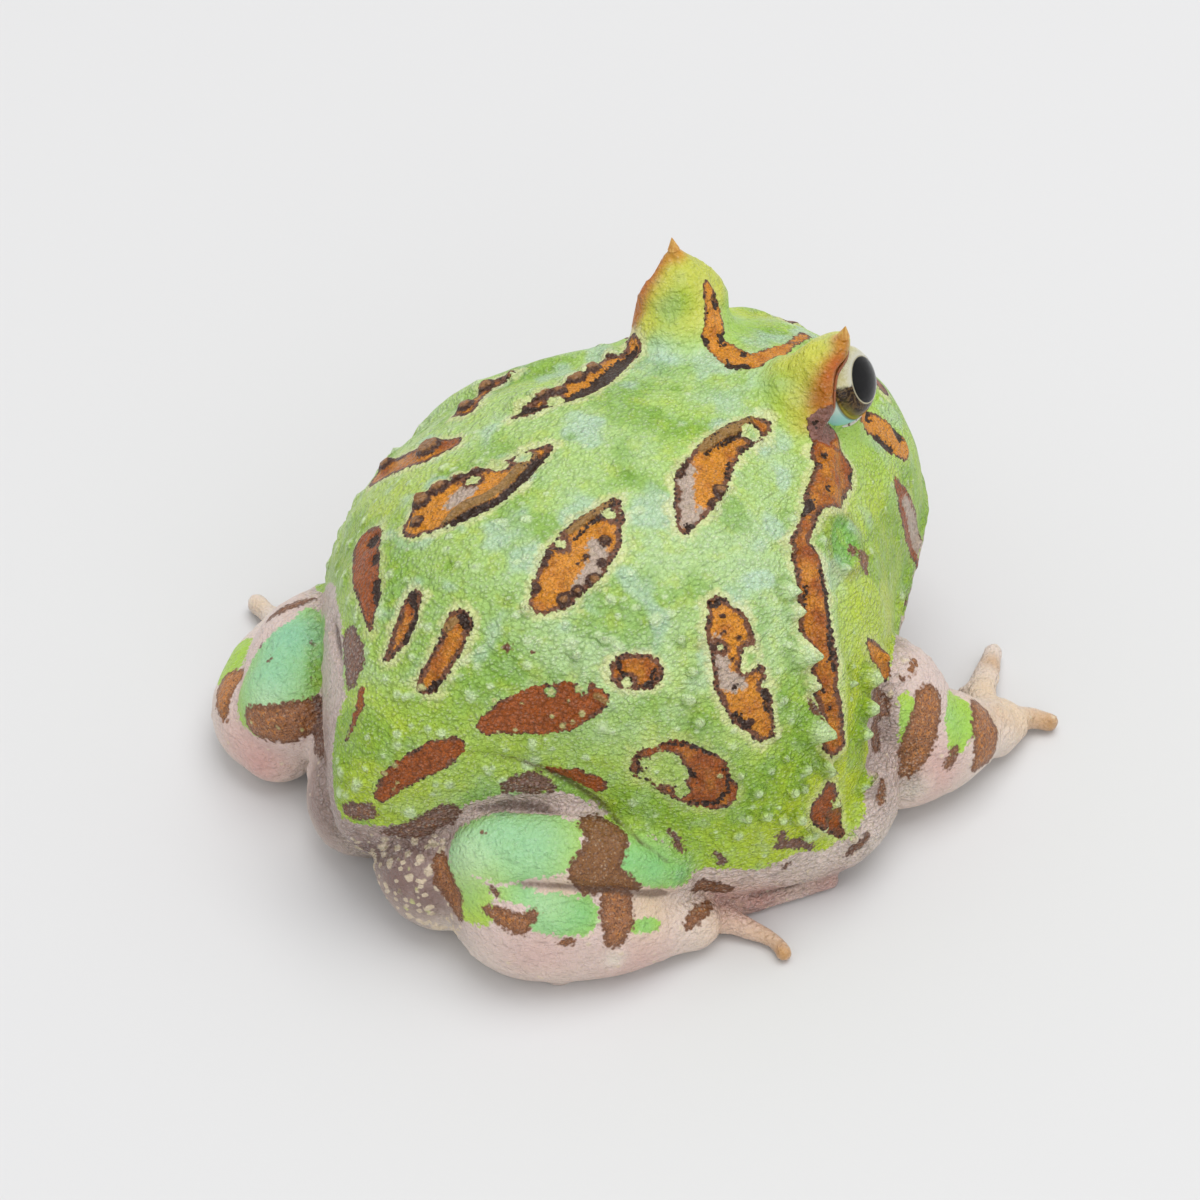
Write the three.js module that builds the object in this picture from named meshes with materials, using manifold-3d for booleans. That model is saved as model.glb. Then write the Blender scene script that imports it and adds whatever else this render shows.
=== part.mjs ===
// A life-size Argentine horned frog, sitting at rest with its legs folded under its flanks.
// Millimetres, +Z up. The frog faces -Y, so its left side is +X, and it rests on Z = 0.
import * as THREE from "three";
import { ParametricGeometry } from "three/addons/geometries/ParametricGeometry.js";
import { mergeVertices } from "three/addons/utils/BufferGeometryUtils.js";
import Module from "manifold-3d";

const wasm = await Module();
wasm.setup();

// Driving sizes
const GAP = 0.3; // left between two solids that touch
const LEFT = 1;
const RIGHT = -1;
const SIDES = { left: LEFT, right: RIGHT };

// The trunk, head and body in one, as rings from the snout to the rump. Each ring is a
// superellipse: its place along Y, how far it sways to the left of the midline, the level of its
// widest point, its half width there, how far the back rises above that level, how far the belly
// drops below it, and how square the belly is.
const TRUNK_RINGS = [
  { along: -47.5, sway: 0, level: 28, halfWidth: 0, rise: 0, drop: 0, belly: 2.4 },
  { along: -46, sway: 0, level: 26, halfWidth: 11.5, rise: 9.5, drop: 8.5, belly: 2.4 },
  { along: -40.5, sway: 0, level: 23.5, halfWidth: 20, rise: 19.5, drop: 16, belly: 2.4 },
  { along: -33, sway: 0, level: 21, halfWidth: 24.6, rise: 27, drop: 18, belly: 2.5 },
  { along: -24, sway: 0, level: 18, halfWidth: 28.2, rise: 32, drop: 18, belly: 2.6 },
  { along: -13, sway: 0, level: 14, halfWidth: 35, rise: 36, drop: 16, belly: 2.8 },
  { along: -1, sway: 0, level: 11, halfWidth: 40.5, rise: 39.5, drop: 13.5, belly: 2.8 },
  { along: 10, sway: 0, level: 10.5, halfWidth: 39.8, rise: 38.5, drop: 13, belly: 2.8 },
  { along: 20, sway: 0.5, level: 12.5, halfWidth: 34, rise: 35, drop: 15, belly: 2.5 },
  { along: 29, sway: 2.1, level: 17, halfWidth: 23.5, rise: 27, drop: 18, belly: 2.1 },
  { along: 37, sway: 2, level: 19.5, halfWidth: 14.8, rise: 17.5, drop: 16.5, belly: 1.9 },
  { along: 44, sway: 1.7, level: 18.5, halfWidth: 8, rise: 10, drop: 11, belly: 1.9 },
  { along: 48.5, sway: 1.6, level: 16, halfWidth: 0, rise: 0, drop: 0, belly: 2 },
];
const BACK_SQUARENESS = 2.1;
const TRUNK_STEPS = 32;
const TRUNK_SIDES = 30;

// The head is turned a little to the frog's left, about an upright axis in the neck.
const HEAD_TURN = 4.5; // degrees
const NECK = { along: -12, bendFrom: -6, bendTo: -24 };
// The thin cut between head and body leans back, from behind the jaw to behind the ear.
const NECK_CUT = { along: -17, level: 12, lean: -13 };

// What the head carries is given in the head's own frame, before it turns.
const EYE = { out: 12.5, along: -27.7, level: 49.4, radius: 5.5 };
const GAZE = { outward: 0.84, forward: 0.37, upward: 0.39 };
const LID = { radius: 7, opening: 2.3 };
const HORN = { out: 13.9, along: -27.1, tip: 59.7, base: 52.6, radius: 5 };
const MOUTH = { front: -46.95, corner: -21, frontLevel: 24, cornerLevel: 15, slit: 0.3, depth: 1.8 };
const LIP = { radius: 1.5, sunk: 0.9, steps: 12 };
const NOSTRIL = { out: 4.6, along: -42.8, mound: 2, pit: 0.8 };
const EARDRUM = { along: -16.5, angle: 42, radius: 3.8, rim: 0.6 };

// Folds of skin and bony ridges as tubes half sunk in the trunk: places along Y with the angle
// round the ring, up from the side. The stripe fold runs from the eye down over the shoulder.
const FOLD_SINK = 0.55; // share of a fold's half width that its middle lies under the skin
const STRIPE_FOLD = [
  { along: -22.5, angle: 58, wide: 2.6 },
  { along: -16, angle: 53, wide: 3.6 },
  { along: -9, angle: 49, wide: 4.2 },
  { along: -4.4, angle: 39, wide: 4.2 },
  { along: -1.8, angle: 28, wide: 3.8 },
  { along: 0.6, angle: 18, wide: 2.8 },
];
const SNOUT_RIDGE = [
  { along: -31, angle: 62, wide: 3 },
  { along: -35, angle: 63, wide: 2.6 },
  { along: -39, angle: 66, wide: 2 },
  { along: -42, angle: 70, wide: 1.3 },
];

// Warts: two rows on each side, a seeded scatter over the hind back, and a patch on each haunch
const WART = { sides: 5, root: 0.8 };
const STRIPE_WARTS = { radius: 1.5, height: 2.5, lift: 5 };
const FLANK_WARTS = {
  places: [
    { along: -12.5, angle: 22 },
    { along: -9, angle: 17 },
    { along: -5, angle: 12 },
    { along: 0, angle: 8 },
    { along: 6, angle: 7 },
    { along: 13, angle: 9 },
  ],
  radius: 1.7,
  height: 1.3,
};
const BACK_WARTS = { count: 40, from: 2, to: 38, low: 18, high: 84, least: 0.7, most: 1.3, seed: 7 };
const HAUNCH_WARTS = { count: 7, least: 0.8, most: 1.5, seed: 3 };

// The folded limbs, each a chain of stations with half width and half height. Both arms mirror
// each other, and the left leg lies further out than the right.
const ARM = {
  upper: [
    { at: [25, -13, 15], wide: 9 },
    { at: [31, -17, 13.5], wide: 9 },
    { at: [35.5, -19, 9], wide: 7.5 },
  ],
  fore: [
    { at: [35, -16.5, 7.8], wide: 7.6, tall: 8 },
    { at: [37.5, -24, 6.6], wide: 6.6, tall: 6.8 },
    { at: [38.6, -31, 4.2], wide: 4.4, tall: 3.8 },
  ],
};
const HAND = {
  palm: [
    { at: [38.6, -30.5, 3.6], wide: 4.4, tall: 3.4 },
    { at: [38, -34.5, 2.8], wide: 4.2, tall: 2.8 },
  ],
  knuckle: [38, -33.5, 2.6],
  // Each digit's bearing turns inwards from straight ahead, in degrees.
  digits: [
    { bearing: 105, length: 9.5 },
    { bearing: 57, length: 13 },
    { bearing: 39, length: 15.5 },
    { bearing: -36, length: 8.5 },
  ],
};
const LEGS = {
  right: {
    thigh: [
      { at: [6.6, 38.3, 7.8], wide: 9.2 },
      { at: [14, 32, 9], wide: 9 },
      { at: [25, 20, 9], wide: 8 },
    ],
    shank: [
      { at: [27, 15, 10], wide: 7.2 },
      { at: [25.5, 27, 12.4], wide: 7.6 },
      { at: [20.5, 33.3, 14.2], wide: 7.4 },
      { at: [15.8, 37.4, 13.8], wide: 7.2 },
    ],
    foot: [
      { at: [14, 38.8, 8.4], wide: 6, tall: 8.6 },
      { at: [21, 39.3, 8], wide: 6.4, tall: 8.6 },
      { at: [29, 31.5, 6.2], wide: 5.4, tall: 7 },
      { at: [34, 21.5, 3.4], wide: 3.6, tall: 3.7 },
    ],
    knuckle: [33.5, 21.5, 2.8],
    digits: [
      { bearing: 35, length: 7 },
      { bearing: 18, length: 9 },
      { bearing: 2, length: 13.5 },
      { bearing: -24, length: 20 },
      { bearing: -67, length: 12.5 },
    ],
    heels: [
      { at: [26, 37.6, 1.6], radius: 2.4 },
      { at: [31.2, 29.2, 1.4], radius: 2 },
    ],
  },
  left: {
    thigh: [
      { at: [9, 37.4, 7.6], wide: 8 },
      { at: [15, 30, 9], wide: 8.4 },
      { at: [25, 17, 9], wide: 8 },
    ],
    shank: [
      { at: [29, 10, 8], wide: 7 },
      { at: [30.5, 18.5, 9.6], wide: 7.6 },
      { at: [30, 27, 11.8], wide: 8 },
      { at: [25.6, 34.4, 11.2], wide: 7.6 },
    ],
    foot: [
      { at: [26.5, 37, 6], wide: 5.8, tall: 6.2 },
      { at: [32, 36, 6], wide: 5.8, tall: 6.2 },
      { at: [38, 28.5, 5], wide: 5, tall: 5.2 },
      { at: [42.6, 20.8, 3.3], wide: 3.6, tall: 3.6 },
    ],
    knuckle: [43, 20.4, 2.8],
    digits: [
      { bearing: 40, length: 7 },
      { bearing: 25, length: 9 },
      { bearing: 12, length: 13 },
      { bearing: -2, length: 17 },
      { bearing: -75, length: 8.4 },
    ],
    heels: [
      { at: [30, 38.4, 1.6], radius: 2.2 },
      { at: [37.5, 32.5, 1.4], radius: 2 },
    ],
  },
};
const DIGIT = { rootRadius: 1.9, tipRadius: 1.4 };
// A web of skin between two neighbouring toes, as shares of their lengths
const WEB = { reach: 0.5, inner: 0.32, low: 0.9, thickness: 0.9 };
const HAUNCH_SPLIT = 1.5; // the haunches meet a little left of the midline, as the rump sways

const COLOURS = {
  head: 0xa6cf4f,
  torso: 0x9ccb45,
  eye: 0x2a241c,
  eyelid: 0xd39a3c,
  upper_arm: 0xb9aa9c,
  forearm: 0x8fb84a,
  hand: 0xcdb189,
  thigh: 0x7d5a45,
  shank: 0x93d39a,
  foot: 0xb59a86,
};

// Scalar Catmull-Rom spline through evenly spaced values, t from 0 to 1. Beyond its ends the
// values are mirrored, and with odd also negated, which rounds the two ends of a loft.
function spline(values, t, odd = false) {
  const last = values.length - 1;
  const i = Math.min(Math.floor(t * last), last - 1);
  const f = t * last - i;
  const at = (k) => {
    if (k < 0) return odd ? 2 * values[0] - values[-k] : values[-k];
    if (k > last) return odd ? 2 * values[last] - values[2 * last - k] : values[2 * last - k];
    return values[k];
  };
  const [a, b, c, d] = [at(i - 1), at(i), at(i + 1), at(i + 2)];
  return b + 0.5 * f * (c - a + f * (2 * a - 5 * b + 4 * c - d + f * (3 * (b - c) + d - a)));
}

// A closed geometry as a manifold solid, with the seams and poles of its grid merged.
function solid(geometry) {
  const bare = geometry.clone();
  bare.deleteAttribute("normal");
  bare.deleteAttribute("uv");
  const merged = mergeVertices(bare, 1e-3);
  const index = merged.index.array;
  const kept = [];
  for (let i = 0; i < index.length; i += 3) {
    const [a, b, c] = [index[i], index[i + 1], index[i + 2]];
    if (a !== b && b !== c && c !== a) kept.push(a, b, c);
  }
  const build = (triangles) =>
    new wasm.Manifold(
      new wasm.Mesh({
        numProp: 3,
        vertProperties: merged.attributes.position.array,
        triVerts: new Uint32Array(triangles),
      }),
    );
  const made = build(kept);
  return made.volume() > 0 ? made : build(kept.reverse());
}

const joined = (pieces) => pieces.reduce((whole, piece) => whole.add(piece));
const without = (made, ...cutters) => cutters.reduce((rest, cutter) => rest.subtract(cutter), made);

// The largest closed surface of a solid
function largest(made) {
  return made.decompose().sort((a, b) => b.volume() - a.volume())[0];
}

function box(width, depth, height, centre, lean = 0) {
  const geometry = new THREE.BoxGeometry(width, depth, height);
  geometry.rotateX(THREE.MathUtils.degToRad(lean));
  geometry.translate(...centre);
  return solid(geometry);
}

// The trunk's surface, grown outwards by grow, as a function of u along and v around.
const column = (key) => TRUNK_RINGS.map((ring) => ring[key]);
const ALONG = column("along");
const SWAY = column("sway");
const LEVEL = column("level");
const HALF_WIDTH = column("halfWidth");
const RISE = column("rise");
const DROP = column("drop");
const BELLY = column("belly");

// Points in front of the neck turn with the head, those behind it stay.
function turnHead(point) {
  const share = THREE.MathUtils.smoothstep(-point.y, -NECK.bendFrom, -NECK.bendTo);
  const angle = THREE.MathUtils.degToRad(HEAD_TURN) * share;
  const [x, y] = [point.x, point.y - NECK.along];
  point.x = x * Math.cos(angle) - y * Math.sin(angle);
  point.y = x * Math.sin(angle) + y * Math.cos(angle) + NECK.along;
  return point;
}

// One point of the trunk's skin, before the head turns: u runs along it, angle round its ring.
function skinPoint(u, angle, grow, target) {
  const [cosine, sine] = [Math.cos(angle), Math.sin(angle)];
  const power = 2 / (sine > 0 ? BACK_SQUARENESS : spline(BELLY, u));
  const end = Math.min(1, 16 * u * (1 - u));
  const w = spline(HALF_WIDTH, u, true) + grow * Math.sqrt(end);
  const h = spline(sine > 0 ? RISE : DROP, u, true) + grow * Math.sqrt(end);
  return target.set(
    spline(SWAY, u) + w * Math.sign(cosine) * Math.abs(cosine) ** power,
    spline(ALONG, u) + grow * Math.sign(u - 0.5) * Math.abs(2 * u - 1) ** 4,
    spline(LEVEL, u) + h * Math.sign(sine) * Math.abs(sine) ** power,
  );
}

const trunkSolid = (grow = 0) =>
  solid(
    new ParametricGeometry(
      (u, v, target) => turnHead(skinPoint(u, 2 * Math.PI * v, grow, target)),
      TRUNK_STEPS,
      TRUNK_SIDES,
    ),
  );

// How far along the rings (0 to 1) the trunk reaches a place on Y, found by halving
function ringAt(along) {
  let [low, high] = [0, 1];
  for (let i = 0; i < 40; i++) {
    const middle = (low + high) / 2;
    if (spline(ALONG, middle) < along) low = middle;
    else high = middle;
  }
  return low;
}

// A place on the skin from Y and the angle round the ring, up from the side, with its normal
function onSkin(along, angle, side) {
  const u = ringAt(along);
  const turned = THREE.MathUtils.degToRad(side === LEFT ? angle : 180 - angle);
  const at = (du, da) => turnHead(skinPoint(u + du, turned + da, 0, new THREE.Vector3()));
  const point = at(0, 0);
  const small = 0.004;
  const lengthwise = at(small, 0).sub(at(-small, 0));
  const around = at(0, small).sub(at(0, -small));
  return { point, normal: lengthwise.cross(around).normalize() };
}

// Half the width of the trunk at a place on Y and a level
function halfWidthAt(along, level) {
  const u = ringAt(along);
  const above = level - spline(LEVEL, u);
  const power = above > 0 ? BACK_SQUARENESS : spline(BELLY, u);
  const share = Math.abs(above) / spline(above > 0 ? RISE : DROP, u, true);
  return spline(HALF_WIDTH, u, true) * Math.max(0, 1 - share ** power) ** (1 / power);
}

// A limb, digit or fold: an elliptical section carried along a smooth path through its stations,
// with rounded ends. u runs along it and v around it.
function limb(stations, side, grow = 0, { steps = 10, sides = 12, capSteps = 2 } = {}) {
  const path = new THREE.CatmullRomCurve3(
    stations.map(({ at }) => new THREE.Vector3(at[0] * side, at[1], at[2])),
  );
  const wide = stations.map((station) => station.wide);
  const tall = stations.map((station) => station.tall ?? station.wide);
  const cap = capSteps / steps;
  const up = new THREE.Vector3(0, 0, 1);
  const surface = (u, v, target) => {
    const t = THREE.MathUtils.clamp((u - cap) / (1 - 2 * cap), 0, 1);
    const turn = (Math.PI / 2) * Math.min(u / cap, (1 - u) / cap, 1);
    const tangent = path.getTangent(THREE.MathUtils.clamp(t, 0.001, 0.999));
    const across = new THREE.Vector3().crossVectors(up, tangent).normalize();
    const rise = new THREE.Vector3().crossVectors(tangent, across);
    const w = spline(wide, t) + grow;
    const h = spline(tall, t) + grow;
    target
      .copy(path.getPoint(t))
      .addScaledVector(tangent, Math.cos(turn) * Math.min(w, h) * Math.sign(u - 0.5))
      .addScaledVector(across, w * Math.sin(turn) * Math.cos(2 * Math.PI * v))
      .addScaledVector(rise, h * Math.sin(turn) * Math.sin(2 * Math.PI * v));
  };
  return solid(new ParametricGeometry(surface, steps, sides));
}

// A fold of skin: a tube along places on the skin, sunk so that its top half stands out
function fold(places, side, grow) {
  const stations = places.map(({ along, angle, wide }) => {
    const { point, normal } = onSkin(along, angle, side);
    const { x, y, z } = point.addScaledVector(normal, -wide * FOLD_SINK);
    return { at: [x, y, z], wide };
  });
  return limb(stations, LEFT, grow, { steps: 10, sides: 8 });
}

// A wart: a small rounded cone with its root sunk in the skin, pointing along the normal
function wart({ point, normal }, radius, height) {
  const profile = [
    [0, -WART.root],
    [radius, -WART.root],
    [radius * 0.6, height * 0.65],
    [0, height],
  ].map(([out, level]) => new THREE.Vector2(out, level));
  const geometry = new THREE.LatheGeometry(profile, WART.sides);
  geometry.applyQuaternion(
    new THREE.Quaternion().setFromUnitVectors(new THREE.Vector3(0, 1, 0), normal),
  );
  geometry.translate(...point);
  return solid(geometry);
}

// Seeded random numbers from 0 to 1
function seeded(seed) {
  let state = seed;
  return () => {
    state = (state * 1664525 + 1013904223) % 4294967296;
    return state / 4294967296;
  };
}

function backWarts(grow) {
  const { count, from, to, low, high, least, most, seed } = BACK_WARTS;
  const random = seeded(seed);
  return Array.from({ length: count }, () => {
    const along = from + (to - from) * random();
    const angle = low + (high - low) * random();
    const side = random() < 0.5 ? LEFT : RIGHT;
    const radius = least + (most - least) * random();
    return wart(onSkin(along, angle, side), radius + grow, radius * 0.8 + grow);
  });
}

// The warts beside the stripe stand on the fold's upper edge.
const stripeWarts = (side, grow) =>
  STRIPE_FOLD.slice(1).flatMap(({ along, angle }, i) =>
    [0, 0.5].map((between) => {
      const next = STRIPE_FOLD[Math.min(i + 2, STRIPE_FOLD.length - 1)];
      const place = onSkin(
        THREE.MathUtils.lerp(along, next.along, between) + 1.5,
        THREE.MathUtils.lerp(angle, next.angle, between) + STRIPE_WARTS.lift,
        side,
      );
      return wart(place, STRIPE_WARTS.radius + grow, STRIPE_WARTS.height + grow);
    }),
  );

const flankWarts = (side, grow) =>
  FLANK_WARTS.places.map(({ along, angle }) =>
    wart(onSkin(along, angle, side), FLANK_WARTS.radius + grow, FLANK_WARTS.height + grow),
  );

// The line of the mouth, from the left corner (-1) round the snout to the right corner (1)
function mouthPlace(t) {
  const share = t * t;
  const along = THREE.MathUtils.lerp(MOUTH.front, MOUTH.corner, share);
  const level = THREE.MathUtils.lerp(MOUTH.frontLevel, MOUTH.cornerLevel, share);
  return new THREE.Vector3(-Math.sign(t) * halfWidthAt(along, level), along, level);
}

// A tube along the line of the mouth, moved outwards by out
function alongMouth(out, wide, tall) {
  const stations = [];
  for (let i = 0; i <= LIP.steps; i++) {
    const t = (2 * i) / LIP.steps - 1;
    const place = mouthPlace(t);
    const outward = new THREE.Vector3(place.x, (place.y + 30) * 1.4, 0).normalize();
    const { x, y, z } = turnHead(place.addScaledVector(outward, out));
    stations.push({ at: [x, y, z], wide, tall });
  }
  return limb(stations, LEFT, 0, { steps: 26, sides: 6, capSteps: 1 });
}

function ball(radius, centre, segments = 12) {
  const geometry = new THREE.SphereGeometry(radius, segments, Math.round(segments * 0.65));
  geometry.translate(...centre);
  return solid(geometry);
}

// Each nostril is a pit in a low mound on top of the snout.
function nostril(side) {
  const u = ringAt(NOSTRIL.along);
  const share = NOSTRIL.out / spline(HALF_WIDTH, u, true);
  const rise = spline(RISE, u, true) * (1 - share ** BACK_SQUARENESS) ** (1 / BACK_SQUARENESS);
  const level = spline(LEVEL, u) + rise;
  const centre = new THREE.Vector3(NOSTRIL.out * side, NOSTRIL.along, level);
  const pit = centre.clone().add(new THREE.Vector3(0.6 * side, -0.5, NOSTRIL.mound * 0.45));
  centre.z -= NOSTRIL.mound * 0.5;
  return {
    mound: ball(NOSTRIL.mound, turnHead(centre), 8),
    pit: ball(NOSTRIL.pit, turnHead(pit), 6),
  };
}

function eardrum(side, grow) {
  const { point, normal } = onSkin(EARDRUM.along, EARDRUM.angle, side);
  const rim = new THREE.TorusGeometry(EARDRUM.radius, EARDRUM.rim + grow, 5, 12);
  rim.applyQuaternion(
    new THREE.Quaternion().setFromUnitVectors(new THREE.Vector3(0, 0, 1), normal),
  );
  rim.translate(...point);
  return solid(rim);
}

const eyeCentre = (side) =>
  turnHead(new THREE.Vector3(EYE.out * side, EYE.along, EYE.level));

const eyeball = (side, grow = 0) => ball(EYE.radius + grow, eyeCentre(side), 14);

// The eyelids: a round mound over the eyeball, open along the gaze, that rises to the horn
function eyelids(side) {
  const profile = [
    [0, -2],
    [HORN.radius, -2],
    [HORN.radius * 0.86, 1.2],
    [HORN.radius * 0.42, (HORN.tip - HORN.base) * 0.62],
    [HORN.radius * 0.16, (HORN.tip - HORN.base) * 0.88],
    [0, HORN.tip - HORN.base],
  ].map(([radius, level]) => new THREE.Vector2(radius, level));
  const horn = new THREE.LatheGeometry(profile, 9);
  horn.rotateX(Math.PI / 2);
  horn.translate(...turnHead(new THREE.Vector3(HORN.out * side, HORN.along, HORN.base)));
  const gaze = new THREE.Vector3(GAZE.outward * side, -GAZE.forward, GAZE.upward).normalize();
  const opening = new THREE.BoxGeometry(30, 30, 20);
  opening.translate(0, 0, 10 + LID.opening);
  opening.applyQuaternion(
    new THREE.Quaternion().setFromUnitVectors(new THREE.Vector3(0, 0, 1), gaze),
  );
  opening.translate(...eyeCentre(side));
  const mound = ball(LID.radius, eyeCentre(side), 14);
  return largest(
    without(mound.subtract(solid(opening)).add(solid(horn)), TRUNK_GROWN, eyeball(side, GAP)),
  );
}

// A finger or toe runs out from its knuckle on a bearing and comes down on its rounded tip.
function digitEnd(knuckle, { bearing, length }, share) {
  const angle = THREE.MathUtils.degToRad(bearing);
  return [
    knuckle[0] - Math.sin(angle) * length * share,
    knuckle[1] - Math.cos(angle) * length * share,
  ];
}

function digit(knuckle, numbers, side, grow) {
  const stations = [
    { at: knuckle, wide: DIGIT.rootRadius },
    {
      at: [...digitEnd(knuckle, numbers, 0.5), knuckle[2] * 0.85],
      wide: DIGIT.rootRadius * 0.7,
    },
    { at: [...digitEnd(knuckle, numbers, 1), DIGIT.tipRadius * 0.9], wide: DIGIT.tipRadius },
  ];
  return limb(stations, side, grow, { steps: 6, sides: 6, capSteps: 1 });
}

// The web between two toes: a thin plate whose free edge curves in
function web(knuckle, first, second, side, grow) {
  const [a, b] = [digitEnd(knuckle, first, WEB.reach), digitEnd(knuckle, second, WEB.reach)];
  const middle = [0, 1].map((i) =>
    THREE.MathUtils.lerp(knuckle[i], (a[i] + b[i]) / 2, WEB.inner + 0.3),
  );
  const outline = new THREE.Shape();
  outline.moveTo(knuckle[0] * side, knuckle[1]);
  outline.lineTo(a[0] * side, a[1]);
  outline.quadraticCurveTo(middle[0] * side, middle[1], b[0] * side, b[1]);
  const plate = new THREE.ExtrudeGeometry(outline, {
    depth: WEB.thickness + 2 * grow,
    bevelEnabled: false,
    curveSegments: 4,
  });
  plate.translate(0, 0, WEB.low - grow);
  return solid(plate);
}

function hand(side, grow = 0) {
  const palm = limb(HAND.palm, side, grow, { steps: 6, sides: 10 });
  return joined([palm, ...HAND.digits.map((each) => digit(HAND.knuckle, each, side, grow))]);
}

function foot(leg, side, grow = 0) {
  const { digits, knuckle, heels } = leg;
  return joined([
    limb(leg.foot, side, grow),
    ...digits.map((each) => digit(knuckle, each, side, grow)),
    ...digits.slice(1).map((each, i) => web(knuckle, digits[i], each, side, grow)),
    ...heels.map(({ at: [x, y, z], radius }) => ball(radius + grow, [x * side, y, z], 8)),
  ]);
}

function haunchWarts(leg, side) {
  const { count, least, most, seed } = HAUNCH_WARTS;
  const random = seeded(seed);
  const [root] = leg.thigh;
  const centre = new THREE.Vector3(root.at[0] * side, root.at[1], root.at[2]);
  return Array.from({ length: count }, () => {
    const bearing = THREE.MathUtils.degToRad(-10 + 70 * random());
    const climb = THREE.MathUtils.degToRad(-30 + 70 * random());
    const normal = new THREE.Vector3(
      Math.sin(bearing) * Math.cos(climb) * side,
      Math.cos(bearing) * Math.cos(climb),
      Math.sin(climb),
    );
    const point = centre.clone().addScaledVector(normal, root.wide * 0.97);
    return wart({ point, normal }, least + (most - least) * random(), 0.9);
  });
}

function geometryOf(made) {
  const { numProp, numVert, vertProperties, triVerts } = made.getMesh();
  const positions = new Float32Array(numVert * 3);
  for (let i = 0; i < numVert; i++) {
    positions.set(vertProperties.subarray(i * numProp, i * numProp + 3), i * 3);
  }
  const geometry = new THREE.BufferGeometry();
  geometry.setAttribute("position", new THREE.BufferAttribute(positions, 3));
  geometry.setIndex(new THREE.BufferAttribute(triVerts, 1));
  return geometry;
}

// Merging the corners of a cut solid again closes hair-thin slivers before the largest is kept.
function meshOf(name, made, colour, roughness = 0.6) {
  const geometry = geometryOf(largest(solid(geometryOf(largest(made)))));
  geometry.computeVertexNormals();
  const material = new THREE.MeshStandardMaterial({ color: colour, roughness });
  const mesh = new THREE.Mesh(geometry, material);
  mesh.name = name;
  return mesh;
}

// The trunk with all that stands out on it, every piece grown by grow
function trunkForms(grow = 0) {
  return joined([
    trunkSolid(grow),
    alongMouth(-LIP.sunk, LIP.radius + grow, LIP.radius + grow),
    ...backWarts(grow),
    ...[LEFT, RIGHT].flatMap((side) => [
      nostril(side).mound,
      fold(STRIPE_FOLD, side, grow),
      fold(SNOUT_RIDGE, side, grow),
      eardrum(side, grow),
      ...stripeWarts(side, grow),
      ...flankWarts(side, grow),
    ]),
  ]);
}

const FLOOR = box(200, 200, 40, [0, 0, -20]);
const TRUNK_GROWN = trunkForms(GAP);

// A half space behind (1) or in front (-1) of the neck cut
function beyondNeck(direction) {
  const reach = 60;
  const lean = THREE.MathUtils.degToRad(NECK_CUT.lean);
  const distance = direction * (reach - GAP / 2);
  const centre = [
    0,
    NECK_CUT.along + distance * Math.cos(lean),
    NECK_CUT.level + distance * Math.sin(lean),
  ];
  return box(4 * reach, 2 * reach, 4 * reach, centre, NECK_CUT.lean);
}

const trunk = without(
  trunkForms(),
  alongMouth(LIP.radius - LIP.sunk, MOUTH.depth, MOUTH.slit),
  ...[LEFT, RIGHT].flatMap((side) => [nostril(side).pit, eyeball(side, GAP)]),
  ...Object.entries(SIDES).map(([name, side]) => foot(LEGS[name], side, GAP)),
  FLOOR,
);

const frog = new THREE.Group();
const add = (part, suffix, made, roughness) =>
  frog.add(meshOf(suffix ? `${part}_${suffix}` : part, made, COLOURS[part], roughness));

add("head", "", trunk.subtract(beyondNeck(1)));
add("torso", "", trunk.subtract(beyondNeck(-1)));
for (const [name, side] of Object.entries(SIDES)) {
  const leg = LEGS[name];
  const shankGrown = limb(leg.shank, side, GAP);
  const footGrown = foot(leg, side, GAP);
  const lids = eyelids(side);
  const otherHaunch = box(60, 80, 60, [HAUNCH_SPLIT - side * (30 - GAP / 2), 40, 20]);
  add("eye", name, eyeball(side), 0.15);
  add("eyelid", name, lids);
  const foreGrown = limb(ARM.fore, side, GAP);
  add("upper_arm", name, without(limb(ARM.upper, side), TRUNK_GROWN, foreGrown, FLOOR));
  add("forearm", name, without(limb(ARM.fore, side), TRUNK_GROWN, hand(side, GAP), FLOOR));
  add("hand", name, without(hand(side), FLOOR));
  const thigh = joined([limb(leg.thigh, side), ...haunchWarts(leg, side)]);
  add("thigh", name, without(thigh, TRUNK_GROWN, shankGrown, footGrown, otherHaunch, FLOOR));
  add("shank", name, without(limb(leg.shank, side), TRUNK_GROWN, footGrown, FLOOR));
  add("foot", name, without(foot(leg, side), FLOOR));
}

// The frog stands on the middle of its own box.
const middle = new THREE.Box3().setFromObject(frog).getCenter(new THREE.Vector3());
frog.position.set(-middle.x, -middle.y, 0);
export default frog;
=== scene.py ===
import bpy
import numpy as np
from mathutils import Matrix, Vector
from mathutils.bvhtree import BVHTree


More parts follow.
